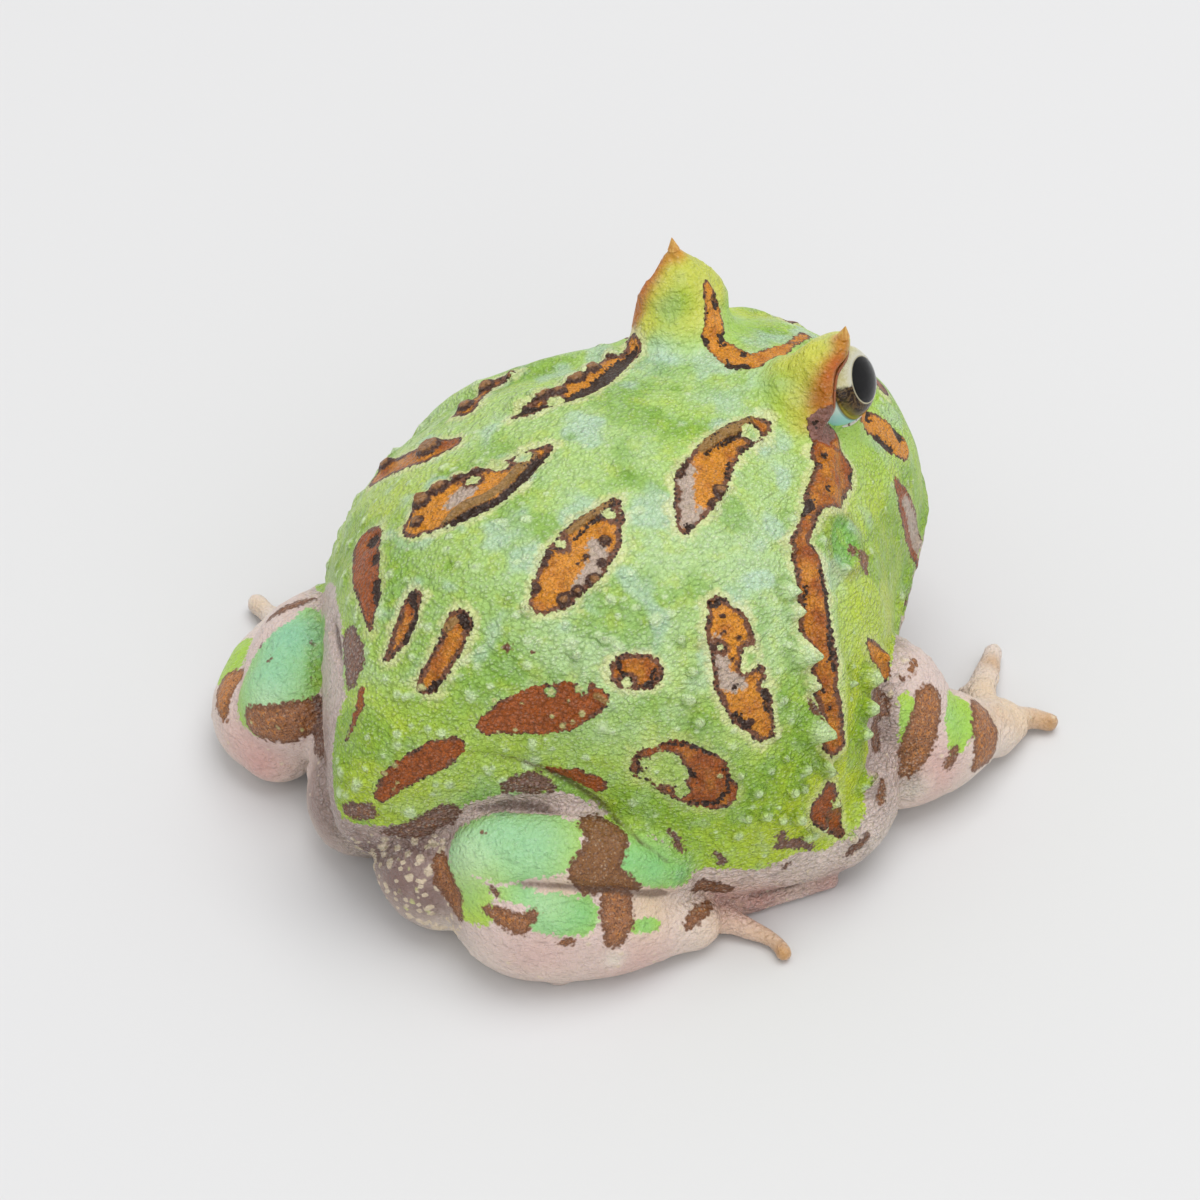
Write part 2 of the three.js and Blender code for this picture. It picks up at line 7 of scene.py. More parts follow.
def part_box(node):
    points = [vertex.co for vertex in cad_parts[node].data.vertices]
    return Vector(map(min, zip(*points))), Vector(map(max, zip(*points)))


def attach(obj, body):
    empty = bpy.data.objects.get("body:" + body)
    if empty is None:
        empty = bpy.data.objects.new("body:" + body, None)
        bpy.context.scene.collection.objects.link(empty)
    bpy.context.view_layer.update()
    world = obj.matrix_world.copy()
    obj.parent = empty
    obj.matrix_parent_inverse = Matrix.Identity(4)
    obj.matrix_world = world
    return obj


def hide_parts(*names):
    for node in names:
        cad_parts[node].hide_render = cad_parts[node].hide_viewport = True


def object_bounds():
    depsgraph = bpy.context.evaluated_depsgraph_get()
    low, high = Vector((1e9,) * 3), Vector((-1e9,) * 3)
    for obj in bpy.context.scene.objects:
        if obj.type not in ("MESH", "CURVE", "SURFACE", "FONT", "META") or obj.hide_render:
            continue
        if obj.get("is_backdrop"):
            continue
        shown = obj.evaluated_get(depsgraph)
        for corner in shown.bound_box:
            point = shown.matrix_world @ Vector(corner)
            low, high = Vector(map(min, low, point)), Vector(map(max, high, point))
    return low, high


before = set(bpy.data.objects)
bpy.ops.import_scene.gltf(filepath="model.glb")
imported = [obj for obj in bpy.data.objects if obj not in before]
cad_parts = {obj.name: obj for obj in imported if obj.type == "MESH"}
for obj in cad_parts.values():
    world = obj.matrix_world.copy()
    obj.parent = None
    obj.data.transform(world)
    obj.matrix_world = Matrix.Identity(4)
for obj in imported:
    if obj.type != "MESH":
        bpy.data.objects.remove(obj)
CAD_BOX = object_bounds()
print("solids:", sorted(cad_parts))

# %% [markdown]
# ## The frog's own frame
# A frog is easiest to shape about its own middle: millimetres, facing -Y, its left side +X.
# The head is turned a little to its left about the neck, so points in front of the neck swing
# round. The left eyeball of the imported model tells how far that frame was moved.
# %% Head turn and place
SIDES = {"left": 1, "right": -1}
HEAD_TURN = np.radians(4.5)
NECK_ALONG = -12
NECK_BEND = (6, 24)
EYE_PLACE = np.array([12.5, -27.7, 49.4])
EYE_RADIUS = 5.5


def smooth_step(value, low, high):
    """0 below low, 1 above high, and 3t^2 - 2t^3 between them."""
    t = np.clip((value - low) / (high - low), 0, 1)
    return t * t * (3 - 2 * t)


def peak(value, middle, width):
    """1 at the middle, falling off on both sides as exp(-t^2) of the distance over the width."""
    return np.exp(-(((value - middle) / width) ** 2))


def turn_head(points):
    """Points turn about the upright neck axis by HEAD_TURN times a smooth share of how far
    forward they lie."""
    points = np.array(points, float)
    angle = HEAD_TURN * smooth_step(-points[..., 1], *NECK_BEND)
    x = points[..., 0].copy()
    y = points[..., 1] - NECK_ALONG
    points[..., 0] = x * np.cos(angle) - y * np.sin(angle)
    points[..., 1] = x * np.sin(angle) + y * np.cos(angle) + NECK_ALONG
    return points


def length(rows):
    """The length of each row of numbers, as of a vector."""
    return np.linalg.norm(rows, axis=-1)


def unit(way):
    """The same direction with length 1."""
    way = np.asarray(way, float)
    return way / length(way)[..., None]


def mirrored(place, side):
    """The same place on the left (1) or right (-1) side."""
    return np.array(place, float) * np.array([side, 1, 1])


low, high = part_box("eye_left")
SHIFT = np.array((low + high) / 2) * 1000 - turn_head(EYE_PLACE)


def to_part(points):
    """Millimetres in the frog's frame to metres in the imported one: add the shift, divide."""
    return (np.asarray(points, float) + SHIFT) / 1000


print("the packed frame lies", SHIFT.round(3), "mm from the frog's own")

# %% [markdown]
# ## Camera
# The photograph looks down on the right side from behind, through a long lens. The camera is
# set first, because places read from the photograph are later found by looking along its rays.
# %% Camera
VIEW_TURN = np.radians(44.0)
VIEW_RISE = np.radians(43.1)
VIEW_DISTANCE = 588
LENS = 135
SENSOR = 36
NEAR_CLIP = 0.01
PHOTO_SIZE = 1200
AIM = np.array([0, 0, 25])
AIM_PIXEL = (617, 590)

FOCAL = PHOTO_SIZE * LENS / SENSOR
BACKWARDS = np.array([-np.sin(VIEW_TURN), np.cos(VIEW_TURN), 0])
TOWARDS = BACKWARDS * np.cos(VIEW_RISE) + np.array([0, 0, np.sin(VIEW_RISE)])
RIGHTWARDS = np.array([-np.cos(VIEW_TURN), -np.sin(VIEW_TURN), 0])
UPWARDS = np.cross(RIGHTWARDS, -TOWARDS)
HALF = PHOTO_SIZE / 2
EYE_POINT = (
    AIM
    + TOWARDS * VIEW_DISTANCE
    - RIGHTWARDS * (AIM_PIXEL[0] - HALF) / FOCAL * VIEW_DISTANCE
    + UPWARDS * (AIM_PIXEL[1] - HALF) / FOCAL * VIEW_DISTANCE
)


def placed(name, data):
    """A new object at the origin for a mesh, a light or a camera, put into the scene."""
    made = bpy.data.objects.new(name, data)
    bpy.context.scene.collection.objects.link(made)
    return made


camera = placed("camera", bpy.data.cameras.new("camera"))
camera.data.lens = LENS
camera.data.sensor_width = SENSOR
camera.data.clip_start = NEAR_CLIP
turn = Matrix(np.stack([RIGHTWARDS, UPWARDS, TOWARDS], 1).tolist()).to_4x4()
camera.matrix_world = Matrix.Translation(Vector(to_part(EYE_POINT))) @ turn
bpy.context.scene.camera = camera


def photo_ray(x, y):
    """The direction from the camera through a pixel of the photograph."""
    ray = -TOWARDS * FOCAL + RIGHTWARDS * (x - HALF) - UPWARDS * (y - HALF)
    return unit(ray)


def on_level(x, y, level):
    """Where the ray through a pixel comes down to a level: the ray is followed for the height
    between the camera and the level over its fall."""
    ray = photo_ray(x, y)
    return EYE_POINT + ray * (level - EYE_POINT[2]) / ray[2]


print("camera at", EYE_POINT.round(1), "mm")

# %% [markdown]
# ## Curves through stations
# A body part is drawn as a few stations with sizes, and a Catmull-Rom spline runs smoothly
# through them. Past its ends the values are mirrored, and with odd they are also negated, which
# rounds the two ends.
# %% Spline


def spline(values, t, odd=False):
    """Catmull-Rom through evenly spaced values, for t from 0 to 1."""
    values = np.asarray(values, float)
    last = len(values) - 1
    place = np.asarray(t, float) * last
    i = np.clip(np.floor(place).astype(int), 0, last - 1)
    f = place - i
    if values.ndim > 1:
        f = f[..., None]
    before = 2 * values[0] - values[1] if odd else values[1]
    after = 2 * values[last] - values[last - 1] if odd else values[last - 1]
    padded = np.concatenate([[before], values, [after]])
    a, b, c, d = (padded[i + k] for k in range(4))
    return b + 0.5 * f * (c - a + f * (2 * a - 5 * b + 4 * c - d + f * (3 * (b - c) + d - a)))


# %% [markdown]
# ## Trunk
# Head and body are one squat loft along Y. Each ring is a superellipse: rounded above and
# squarer below, where the belly spreads on the floor. The columns are its place along Y, its
# sway from the midline, the level of its widest point, its half width, how far the back rises
# and the belly drops from there, and how square the belly is.
# %% Trunk rings
RINGS = np.array(
    [
        [-47.5, 0, 28, 0, 0, 0, 2.4], [-46, 0, 26, 11, 9.5, 8.5, 2.4],
        [-40.5, 0, 23.5, 18.8, 19.5, 16, 2.4], [-33, 0, 21, 22.8, 27, 18, 2.5],
        [-24, 0, 18, 26.6, 32, 18, 2.6], [-13, 0, 14, 35, 36, 16, 2.8],
        [-1, 0, 11, 40.5, 39.5, 13.5, 2.8], [10, 0, 10.5, 39.8, 38.5, 13, 2.8],
        [20, 0.5, 12.5, 34, 35, 15, 2.5], [29, 2.1, 17, 23.5, 27, 18, 2.1],
        [37, 2, 19.5, 14.8, 17.5, 16.5, 1.9], [44, 1.7, 18.5, 8, 10, 11, 1.9],
        [48.5, 1.6, 16, 0, 0, 0, 2],
    ]
)
ALONG, SWAY, LEVEL, HALF_WIDTH, RISE, DROP, BELLY = RINGS.T
BACK_SQUARENESS = 2.1


def ring_sizes(u, above):
    """Half width, height and squareness at u along the loft: of a ring's upper part where above
    is more than 0, and of its lower part elsewhere."""
    tall = np.where(above > 0, spline(RISE, u, odd=True), spline(DROP, u, odd=True))
    square = np.where(above > 0, BACK_SQUARENESS, spline(BELLY, u))
    return spline(HALF_WIDTH, u, odd=True), tall, square


def ring_point(u, angle):
    """Superellipse: width times |cos|^(2/n) and height times |sin|^(2/n), at u along the loft."""
    u, angle = np.broadcast_arrays(np.asarray(u, float), np.asarray(angle, float))
    cosine = np.cos(angle)
    sine = np.sin(angle)
    wide, tall, square = ring_sizes(u, sine)
    x = spline(SWAY, u) + wide * np.sign(cosine) * np.abs(cosine) ** (2 / square)
    y = spline(ALONG, u)
    z = spline(LEVEL, u) + tall * np.sign(sine) * np.abs(sine) ** (2 / square)
    return turn_head(np.stack([x, y, z], -1))


def ring_at(along):
    """How far along the rings, 0 to 1, a place on Y is: read back from a fine table of Y."""
    fine = np.linspace(0, 1, 4001)
    return np.interp(along, spline(ALONG, fine), fine)


def on_trunk(along, degrees, side):
    """A place on the trunk from Y and the angle round the ring, and its outward normal, which
    is the cross product of the ways along and around."""
    u = ring_at(along)
    angle = np.radians(degrees if side > 0 else 180 - degrees)
    step = 0.004
    lengthwise = ring_point(u + step, angle) - ring_point(u - step, angle)
    around = ring_point(u, angle + step) - ring_point(u, angle - step)
    normal = np.cross(lengthwise, around)
    return ring_point(u, angle), unit(normal)


# %% [markdown]
# ## Closed surfaces
# Every form starts as rows of points: each row is a loop, and the first and last row shrink to
# a pole, so the surface is closed. The forms may run into each other; one remesh joins them.
# %% Lofts


def outward(points, triangles):
    """Triangles turned so that the volume they enclose is positive, which points them out."""
    a, b, c = (points[triangles[:, k]] for k in range(3))
    volume = np.einsum("ij,ij->", a, np.cross(b, c))
    return triangles if volume > 0 else triangles[:, ::-1]


def loft(grid):
    """Points and triangles of a closed loft from a grid of rows by sides."""
    rows, sides = grid.shape[:2]
    points = np.concatenate([grid[0, :1], grid[1:-1].reshape(-1, 3), grid[-1, :1]])
    here = np.arange(sides)
    then = np.roll(here, -1)
    row = 1 + sides * np.arange(rows - 3)[:, None]
    one = np.stack([row + here, row + then, row + sides + then], -1)
    two = np.stack([row + here, row + sides + then, row + sides + here], -1)
    last_row = 1 + sides * (rows - 3)
    last = len(points) - 1
    start = np.stack([np.zeros_like(here), 1 + then, 1 + here], -1)
    end = np.stack([np.full_like(here, last), last_row + here, last_row + then], -1)
    triangles = np.concatenate([one.reshape(-1, 3), two.reshape(-1, 3), start, end])
    return points, outward(points, triangles)


def limb(stations, side=1, steps=44, sides=28, cap_steps=8):
    """An ellipse carried along a smooth path through its stations (x, y, z, half width, half
    height), with quarter-circle caps: the section shrinks with the sine as it moves out."""
    stations = np.array(stations, float)
    places = mirrored(stations[:, :3], side)
    u = np.linspace(0, 1, steps + 1)
    cap = cap_steps / steps
    t = np.clip((u - cap) / (1 - 2 * cap), 0, 1)
    bend = np.pi / 2 * np.minimum(np.minimum(u / cap, (1 - u) / cap), 1)
    inside = np.clip(t, 0.002, 0.998)
    tangent = spline(places, inside + 0.001, odd=True) - spline(places, inside - 0.001, odd=True)
    tangent = unit(tangent)
    across = unit(np.cross([0, 0, 1], tangent))
    rise = np.cross(tangent, across)
    wide = spline(stations[:, 3], t)
    tall = spline(stations[:, 4], t)
    out = np.cos(bend) * np.minimum(wide, tall) * np.sign(u - 0.5)
    centre = spline(places, t, odd=True) + tangent * out[:, None]
    around = np.linspace(0, 2 * np.pi, sides, endpoint=False)
    grid = (
        centre[:, None]
        + across[:, None] * (wide * np.sin(bend))[:, None, None] * np.cos(around)[:, None]
        + rise[:, None] * (tall * np.sin(bend))[:, None, None] * np.sin(around)[:, None]
    )
    return loft(grid)


def trunk():
    """The rings of the trunk at 140 places, 180 points each."""
    u = np.linspace(0, 1, 140)[:, None]
    around = np.linspace(0, 2 * np.pi, 180, endpoint=False)[None]
    return loft(ring_point(u, around))


forms = [trunk()]
print("trunk:", len(forms[0][0]), "points")

# %% [markdown]
# ## Folds and ridges
# A raised fold runs from the eye down over the shoulder and carries the dark stripe, and a
# bony ridge runs from the eye to the nostril. Both are tubes sunk about half way into the trunk.
# %% Folds
FOLD_SINK = 0.55
STRIPE_FOLD = [
    (-22.5, 58, 2.6), (-16, 53, 3.6), (-9, 49, 4.2), (-4.4, 39, 4.2), (-1.8, 28, 3.8),
    (0.6, 18, 2.8),
]
SNOUT_RIDGE = [(-31, 62, 3), (-35, 63, 2.6), (-39, 66, 2), (-42, 70, 1.3)]


def fold(places, side):
    """A tube through places on the trunk (along Y, angle, half width), sunk along the normal."""
    stations = []
    for along, degrees, wide in places:
        point, normal = on_trunk(along, degrees, side)
        stations.append([*(point - normal * wide * FOLD_SINK), wide, wide])
    return limb(stations)


for side in SIDES.values():
    forms.append(fold(STRIPE_FOLD, side))
    forms.append(fold(SNOUT_RIDGE, side))
print("folds: 4 tubes")

# %% [markdown]
# ## Brows
# Over each eye the lids rise to a blunt brow with a little horn. A brow is a radius for each
# direction from the middle of the eyeball: a ball, higher under the horn, and the horn itself a
# hollow-sided spike. Where the lids are open, the radius drops below the eyeball's own.
# %% Brow mounds
GAZE = (0.845, -0.31, 0.43)
OPENING = (0.92, -0.38, 0.1)
OPENING_COSINE = 0.135
HORN_WAY = (1.65, 0.4, 10.6)
LOWER_WAY = (0.35, 0.1, 0.93)
LOWER_LEVEL = -0.55
LID_RADIUS = 5.95
BROW_RADIUS = 6.9
SOCKET_RADIUS = 3.2
INNER_WAY = (-0.35, 0.25, 0.9)
LEAN_WAY = (-0.6, -0.7, 0.35)
CREST = 1.1
CREST_DEGREES = 38
SPIKE = 2.3
SPIKE_DEGREES = 19
SKIRT_PLACE = (-2.2, 2.4, -3.6)
SKIRT_RADIUS = 7.8


def head_way(way, side):
    """A direction in the head's own frame, turned with the head."""
    x, y, z = mirrored(way, side)
    cosine, sine = np.cos(HEAD_TURN), np.sin(HEAD_TURN)
    return unit([x * cosine - y * sine, x * sine + y * cosine, z])


def degrees_from(directions, way):
    """The angle between each direction and one way."""
    return np.degrees(np.arccos(np.clip(directions @ way, -1, 1)))


def eye_middle(side):
    """The middle of an eyeball, on the turned head."""
    return turn_head(mirrored(EYE_PLACE, side))


def circle(first, second, sides):
    """Directions round a circle: the cosine of one way plus the sine of another."""
    around = np.linspace(0, 2 * np.pi, sides, endpoint=False)[:, None]
    return first * np.cos(around) + second * np.sin(around)


def sphere_directions(pole, rows, sides):
    """Unit directions on a grid from one pole to the other, given the pole."""
    pole = unit(pole)
    first = unit(np.cross(pole, [0.1, 0.9, 0.3]))
    polar = np.linspace(0, np.pi, rows)[:, None, None]
    flat = circle(first, np.cross(pole, first), sides)
    return pole * np.cos(polar) + flat * np.sin(polar)


def lid_opening(ways, side):
    """How far a direction lies inside the opening of the lids: the lesser of how far it faces
    along the opening's axis, past a level that is higher under the horn, and how far it stands
    over the lower lid."""
    under_horn = 0.13 * smooth_step(ways[..., 2], 0.8, 0.97)
    behind = ways @ head_way((0, 1, 0), side)
    upper_lid = 0.11 * smooth_step(ways[..., 2], -0.4, 0.1) * smooth_step(behind, -0.5, 0)
    low_back = 0.14 * smooth_step(-ways[..., 2], -0.05, 0.25) * smooth_step(behind, -0.3, 0.2)
    facing = ways @ head_way(OPENING, side) - OPENING_COSINE - under_horn - upper_lid + low_back
    standing = 0.9 * (ways @ head_way(LOWER_WAY, side) - LOWER_LEVEL)
    return np.minimum(facing, standing)


def brow_radius(ways, side):
    """The larger of a ball with a bell-shaped crest and the far side of a skirt ball below and
    behind it, leaner in front, plus a spike (1 - angle)^2; it drops to the socket's radius inside
    the lids' opening. The ray leaves the skirt ball at w.p + sqrt((w.p)^2 - p.p + R^2)."""
    inner = ways @ head_way(INNER_WAY, side)
    radius = LID_RADIUS + (BROW_RADIUS - LID_RADIUS) * smooth_step(inner, -0.75, 0.1)
    radius = radius + CREST * peak(degrees_from(ways, [0, 0, 1]), 0, CREST_DEGREES)
    offset = length(SKIRT_PLACE)
    reach = ways @ head_way(SKIRT_PLACE, side) * offset
    skirt = reach + np.sqrt(reach**2 - offset**2 + SKIRT_RADIUS**2)
    radius = np.maximum(radius, skirt)
    radius = radius - 0.9 * smooth_step(ways @ head_way(LEAN_WAY, side), 0.2, 0.9)
    away = degrees_from(ways, head_way(HORN_WAY, side)) / SPIKE_DEGREES
    radius = radius + SPIKE * np.clip(1 - away, 0, 1) ** 2
    open_share = smooth_step(lid_opening(ways, side), -0.03, 0.1)
    return radius + (SOCKET_RADIUS - radius) * open_share


def brow(side):
    """The brow's radius carried out from the eyeball's middle in every direction."""
    ways = sphere_directions(head_way(GAZE, side), 110, 150)
    return loft(eye_middle(side) + ways * brow_radius(ways, side)[..., None])


for side in SIDES.values():
    forms.append(brow(side))
print("brows: 2 mounds")

# %% [markdown]
# ## Limbs
# The legs are folded flat beside the body, thigh inside shank inside foot, and the arms turn
# their hands inwards. Each is a chain of stations: place, half width and half height.
# %% Limb stations
ARM_UPPER = [[25, -13, 15, 9, 9], [31, -17, 13.5, 9, 9], [35.5, -19, 9, 7.5, 7.5]]
ARM_FORE = [[35, -16.5, 7.8, 7.6, 8], [37.5, -24, 6.6, 6.6, 6.8], [38.6, -31, 4.2, 4.4, 3.8]]
PALM = [[38.6, -30.5, 3.6, 4.4, 3.4], [38, -34.5, 2.8, 4.2, 2.8]]
HAND_KNUCKLE = (38, -33.5, 2.6)
FINGERS = {
    "right": [(105, 9.5), (72, 7.5)],
    "left": [(105, 9.5), (72, 11), (46, 15.5), (-40, 8.5)],
}
LEGS = {
    "right": {
        "thigh": [[6.6, 38.3, 7.8, 9.2, 9.2], [14, 32, 9, 9, 9], [25, 20, 9, 8, 8]],
        "shank": [
            [27, 15, 10, 7.2, 7.2], [25.5, 27, 12.4, 7.6, 7.6], [20.5, 33.3, 14.2, 7.4, 7.4],
            [15.8, 37.4, 13.8, 7.2, 7.2],
        ],
        "foot": [
            [14, 38.8, 8.4, 6, 8.6], [21, 39.3, 8, 6.4, 8.6], [29, 31.5, 6.2, 5.4, 7],
            [34, 21.5, 3.4, 3.6, 3.7],
        ],
        "knuckle": (33.5, 21.5, 2.8),
        "toes": [(35, 7), (18, 9), (2, 13.5)],
        "heels": [[26, 37.6, 1.6, 2.4], [31.2, 29.2, 1.4, 2]],
    },
    "left": {
        "thigh": [[9, 37.4, 7.6, 8, 8], [15, 30, 9, 8.4, 8.4], [25, 17, 9, 8, 8]],
        "shank": [
            [29, 10, 8, 7, 7], [30.5, 18.5, 9.6, 7.6, 7.6], [30, 27, 11.8, 8, 8],
            [25.6, 34.4, 11.2, 7.6, 7.6],
        ],
        "foot": [
            [26.5, 37, 6, 5.8, 6.2], [32, 36, 6, 5.8, 6.2], [38, 28.5, 5, 5, 5.2],
            [42.6, 20.8, 3.3, 3.6, 3.6],
        ],
        "knuckle": (43, 20.4, 2.8),
        "toes": [(40, 7), (25, 9), (12, 13), (-2, 17), (-75, 8.4)],
        "heels": [[30, 38.4, 1.6, 2.2], [37.5, 32.5, 1.4, 2]],
    },
}
SEEN_DIGITS = [
    [(994, 733, 3.4, 2.9), (1010, 723, 2.6, 2.1), (1030, 718, 1.9, 1.5), (1049, 722, 1.4, 1.3)],
    [(984, 722, 3.2, 2.6), (980, 694, 2.4, 2.1), (987, 673, 1.9, 1.7), (993, 653, 1.4, 1.3)],
    [(672, 905, 3.6, 3.4), (702, 915, 2.7, 2.5), (735, 923, 1.8, 1.5), (765, 936, 1.3, 1.1)],
    [(735, 923, 1.8, 1.5), (765, 936, 1.3, 1.1), (778, 944, 1.15, 1.0), (784, 953, 1.1, 1.05)],
    [(680, 896, 2.8, 2.8), (730, 899, 2, 2.2), (785, 891, 1.5, 1.5), (830, 880, 1.2, 1.15)],
    [(690, 903, 1.7, 1.9), (730, 908, 1.3, 1.3), (762, 904, 1, 0.9)],
]
FLANK_ROLL = [
    (850, 700, 14, 5.0), (852, 745, 11, 6.0), (856, 790, 8.5, 6.0), (842, 818, 7.5, 6.0),
    (812, 832, 7, 6.0), (770, 846, 6.5, 6.0), (730, 850, 7, 5.0),
]
TOE_ROOT = 1.9
TOE_TIP = 1.4
WEB_SHARE = 0.5


def toe_place(knuckle, bearing, reach, share):
    """A place on a digit: from the knuckle, turned inwards from straight ahead by bearing."""
    angle = np.radians(bearing)
    x = knuckle[0] - np.sin(angle) * reach * share
    y = knuckle[1] - np.cos(angle) * reach * share
    return x, y


def toe(knuckle, bearing, reach, side):
    """A digit: a thin limb that arches a little and comes down on its rounded tip."""
    shares = [0, 0.35, 0.7, 1]
    heights = [knuckle[2], knuckle[2] * 1.05, knuckle[2] * 0.75, TOE_TIP]
    sizes = [TOE_ROOT, TOE_ROOT * 0.8, TOE_ROOT * 0.68, TOE_TIP]
    stations = []
    for share, height, size in zip(shares, heights, sizes):
        x, y = toe_place(knuckle, bearing, reach, share)
        stations.append([x, y, height, size, size])
    return limb(stations, side, steps=24, sides=18, cap_steps=5)


def web(knuckle, first, second, side):
    """Skin between two toes: a thin lens between them, spanned from the knuckle outwards."""
    x1, y1 = toe_place(knuckle, *first, WEB_SHARE)
    x2, y2 = toe_place(knuckle, *second, WEB_SHARE)
    stations = [
        [knuckle[0], knuckle[1], 2, 1.6, 0.9],
        [(x1 + x2 + knuckle[0]) / 3, (y1 + y2 + knuckle[1]) / 3, 1.6, 1.7, 0.8],
        [(x1 + x2) / 2, (y1 + y2) / 2, 1.3, 1.4, 0.7],
    ]
    return limb(stations, side, steps=20, sides=16, cap_steps=5)


def seen_chain(rows):
    """Stations from rows of pixel x and y, level and half size: the levels are known."""
    return [[*on_level(x, y, level), half, half] for x, y, level, half in rows]


for name, side in SIDES.items():
    leg = LEGS[name]
    chains = [ARM_UPPER, ARM_FORE, PALM, leg["thigh"], leg["shank"], leg["foot"]]
    forms.extend(limb(chain, side) for chain in chains)
    forms.extend(toe(HAND_KNUCKLE, *finger, side) for finger in FINGERS[name])
    forms.extend(toe(leg["knuckle"], *each, side) for each in leg["toes"])
    pairs = zip(leg["toes"], leg["toes"][1:])
    forms.extend(web(leg["knuckle"], *pair, side) for pair in pairs)
    for x, y, z, radius in leg["heels"]:
        ways = sphere_directions([0, 0, 1], 14, 20)
        forms.append(loft(mirrored([x, y, z], side) + ways * radius))
forms.extend(limb(seen_chain(rows), steps=30, sides=20, cap_steps=5) for rows in SEEN_DIGITS)
roll = seen_chain(FLANK_ROLL)
forms.append(limb(roll))
forms.append(limb([[-station[0], *station[1:]] for station in roll]))
print("forms of flesh:", len(forms))

# %% [markdown]
# ## One skin
# The forms run into each other as they would under a real skin. A voxel remesh wraps one
# closed surface round all of them, and a smoothing that moves each point to the middle of its
# neighbours and then a little back takes out the small steps without shrinking the toes.
# %% Remesh
VOXEL = 0.00059


def mesh_object(name, points, triangles):
    """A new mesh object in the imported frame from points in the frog's frame."""
    mesh = bpy.data.meshes.new(name)
    mesh.from_pydata(to_part(points).tolist(), [], triangles.tolist())
    return placed(name, mesh)


def gathered(parts):
    """Several surfaces as one list of points and triangles."""
    starts = np.cumsum([0] + [len(points) for points, _ in parts[:-1]])
    points = np.concatenate([points for points, _ in parts])
    triangles = np.concatenate([each + start for (_, each), start in zip(parts, starts)])
    return points, triangles


def remeshed(name, points, triangles, voxel):
    """The outer surface of closed forms that overlap, as one mesh of even quads."""
    rough = mesh_object("rough", points, triangles)
    wrap = rough.modifiers.new("wrap", "REMESH")
    wrap.mode = "VOXEL"
    wrap.voxel_size = voxel
    graph = bpy.context.evaluated_depsgraph_get()
    mesh = bpy.data.meshes.new_from_object(rough.evaluated_get(graph))
    mesh.name = name
    bpy.data.objects.remove(rough)
    return placed(name, mesh)


skin = remeshed("skin", *gathered(forms), VOXEL)
print("skin:", len(skin.data.vertices), "points,", len(skin.data.polygons), "faces")

# %% Smoothing


def read_rows(items, key, width, kind=np.float32):
    """One property of all of a mesh's points or edges, as rows of so many numbers."""
    flat = np.empty(len(items) * width, kind)
    items.foreach_get(key, flat)
    return flat.reshape(-1, width)


def read_points(made):
    """The object's points in the frog's frame, in millimetres."""
    return read_rows(made.data.vertices, "co", 3).astype(float) * 1000 - SHIFT


def write_points(made, points):
    """Puts points of the frog's frame back into the mesh."""
    made.data.vertices.foreach_set("co", to_part(points).astype(np.float32).ravel())
    made.data.update()


def neighbour_mean(values, edges):
    """For each point the mean of its neighbours' values, by counting along the edges."""
    count = len(values)
    ends = np.concatenate([edges, edges[:, ::-1]])
    number = np.bincount(ends[:, 0], minlength=count)
    sums = [np.bincount(ends[:, 0], values[ends[:, 1], k], count) for k in range(values.shape[1])]
    return np.stack(sums, 1) / number[:, None]


EDGES = read_rows(skin.data.edges, "vertices", 2, np.int32)
ROUNDS = 8
TOWARDS_MEAN = 0.5
BACK_FROM_MEAN = -0.52
points = read_points(skin)
for share in [TOWARDS_MEAN, BACK_FROM_MEAN] * ROUNDS:
    points = points + share * (neighbour_mean(points, EDGES) - points)

# the skin fills the corner where a brow rises from the head
CORNER_RADIUS = 8.8
CORNER_REACH = 1.7
CORNER_ROUNDS = 40
for side in SIDES.values():
    rel = points - eye_middle(side)
    corner = peak(length(rel), CORNER_RADIUS, CORNER_REACH) * smooth_step(1.8 - rel[:, 2], 0, 2.5)
    corner = corner * smooth_step(1.4 - rel @ head_way(OPENING, side), 0, 2)
    near = np.nonzero(corner > 0.02)[0]
    for _ in range(CORNER_ROUNDS):
        middle = neighbour_mean(points, EDGES)
        points[near] += 0.5 * corner[near, None] * (middle[near] - points[near])
write_points(skin, points)
print("smoothed; level range", points[:, 2].min().round(2), points[:, 2].max().round(2))

# %% [markdown]
# ## Reading places from the photograph
# A marking is read as a path of pixels with a half width at each. A ray through each pixel
# finds where it lies on the skin, and the two edges of the marking give its true half width
# there, also where the skin turns away. So the marking sits on the skin from every side.
# %% Rays onto the skin


def surface_tree(made):
    """A search tree over the faces, in the frog's frame."""
    corners = [tuple(p) for p in read_points(made)]
    return BVHTree.FromPolygons(corners, [tuple(f.vertices) for f in made.data.polygons])


TREE = surface_tree(skin)
MOST_STRETCH = 2.2


def seen(x, y):
    """Where the ray through a pixel first meets the skin, or None."""
    hit = TREE.ray_cast(Vector(EYE_POINT), Vector(photo_ray(x, y)))[0]
    return None if hit is None else np.array(hit)


def nearest(place):
    """The place on the skin nearest to a point."""
    return np.array(TREE.find_nearest(Vector(place))[0])


def ribbon(path):
    """A marking's path on the skin and its half widths in millimetres."""
    path = np.array(path, float)
    way = unit(np.gradient(path[:, :2], axis=0)) if len(path) > 1 else [(1.0, 0.0)]
    places, widths = [], []
    for (x, y, half), (dx, dy) in zip(path, way):
        middle = seen(x, y)
        if middle is None:
            continue
        edges = [seen(x - dy * half, y + dx * half), seen(x + dy * half, y - dx * half)]
        reach = [length(edge - middle) for edge in edges if edge is not None]
        limit = MOST_STRETCH * half * VIEW_DISTANCE / FOCAL
        widths.append(min(np.mean(reach), limit) if reach else limit / 2)
        places.append(middle)
    return np.array(places), np.array(widths)


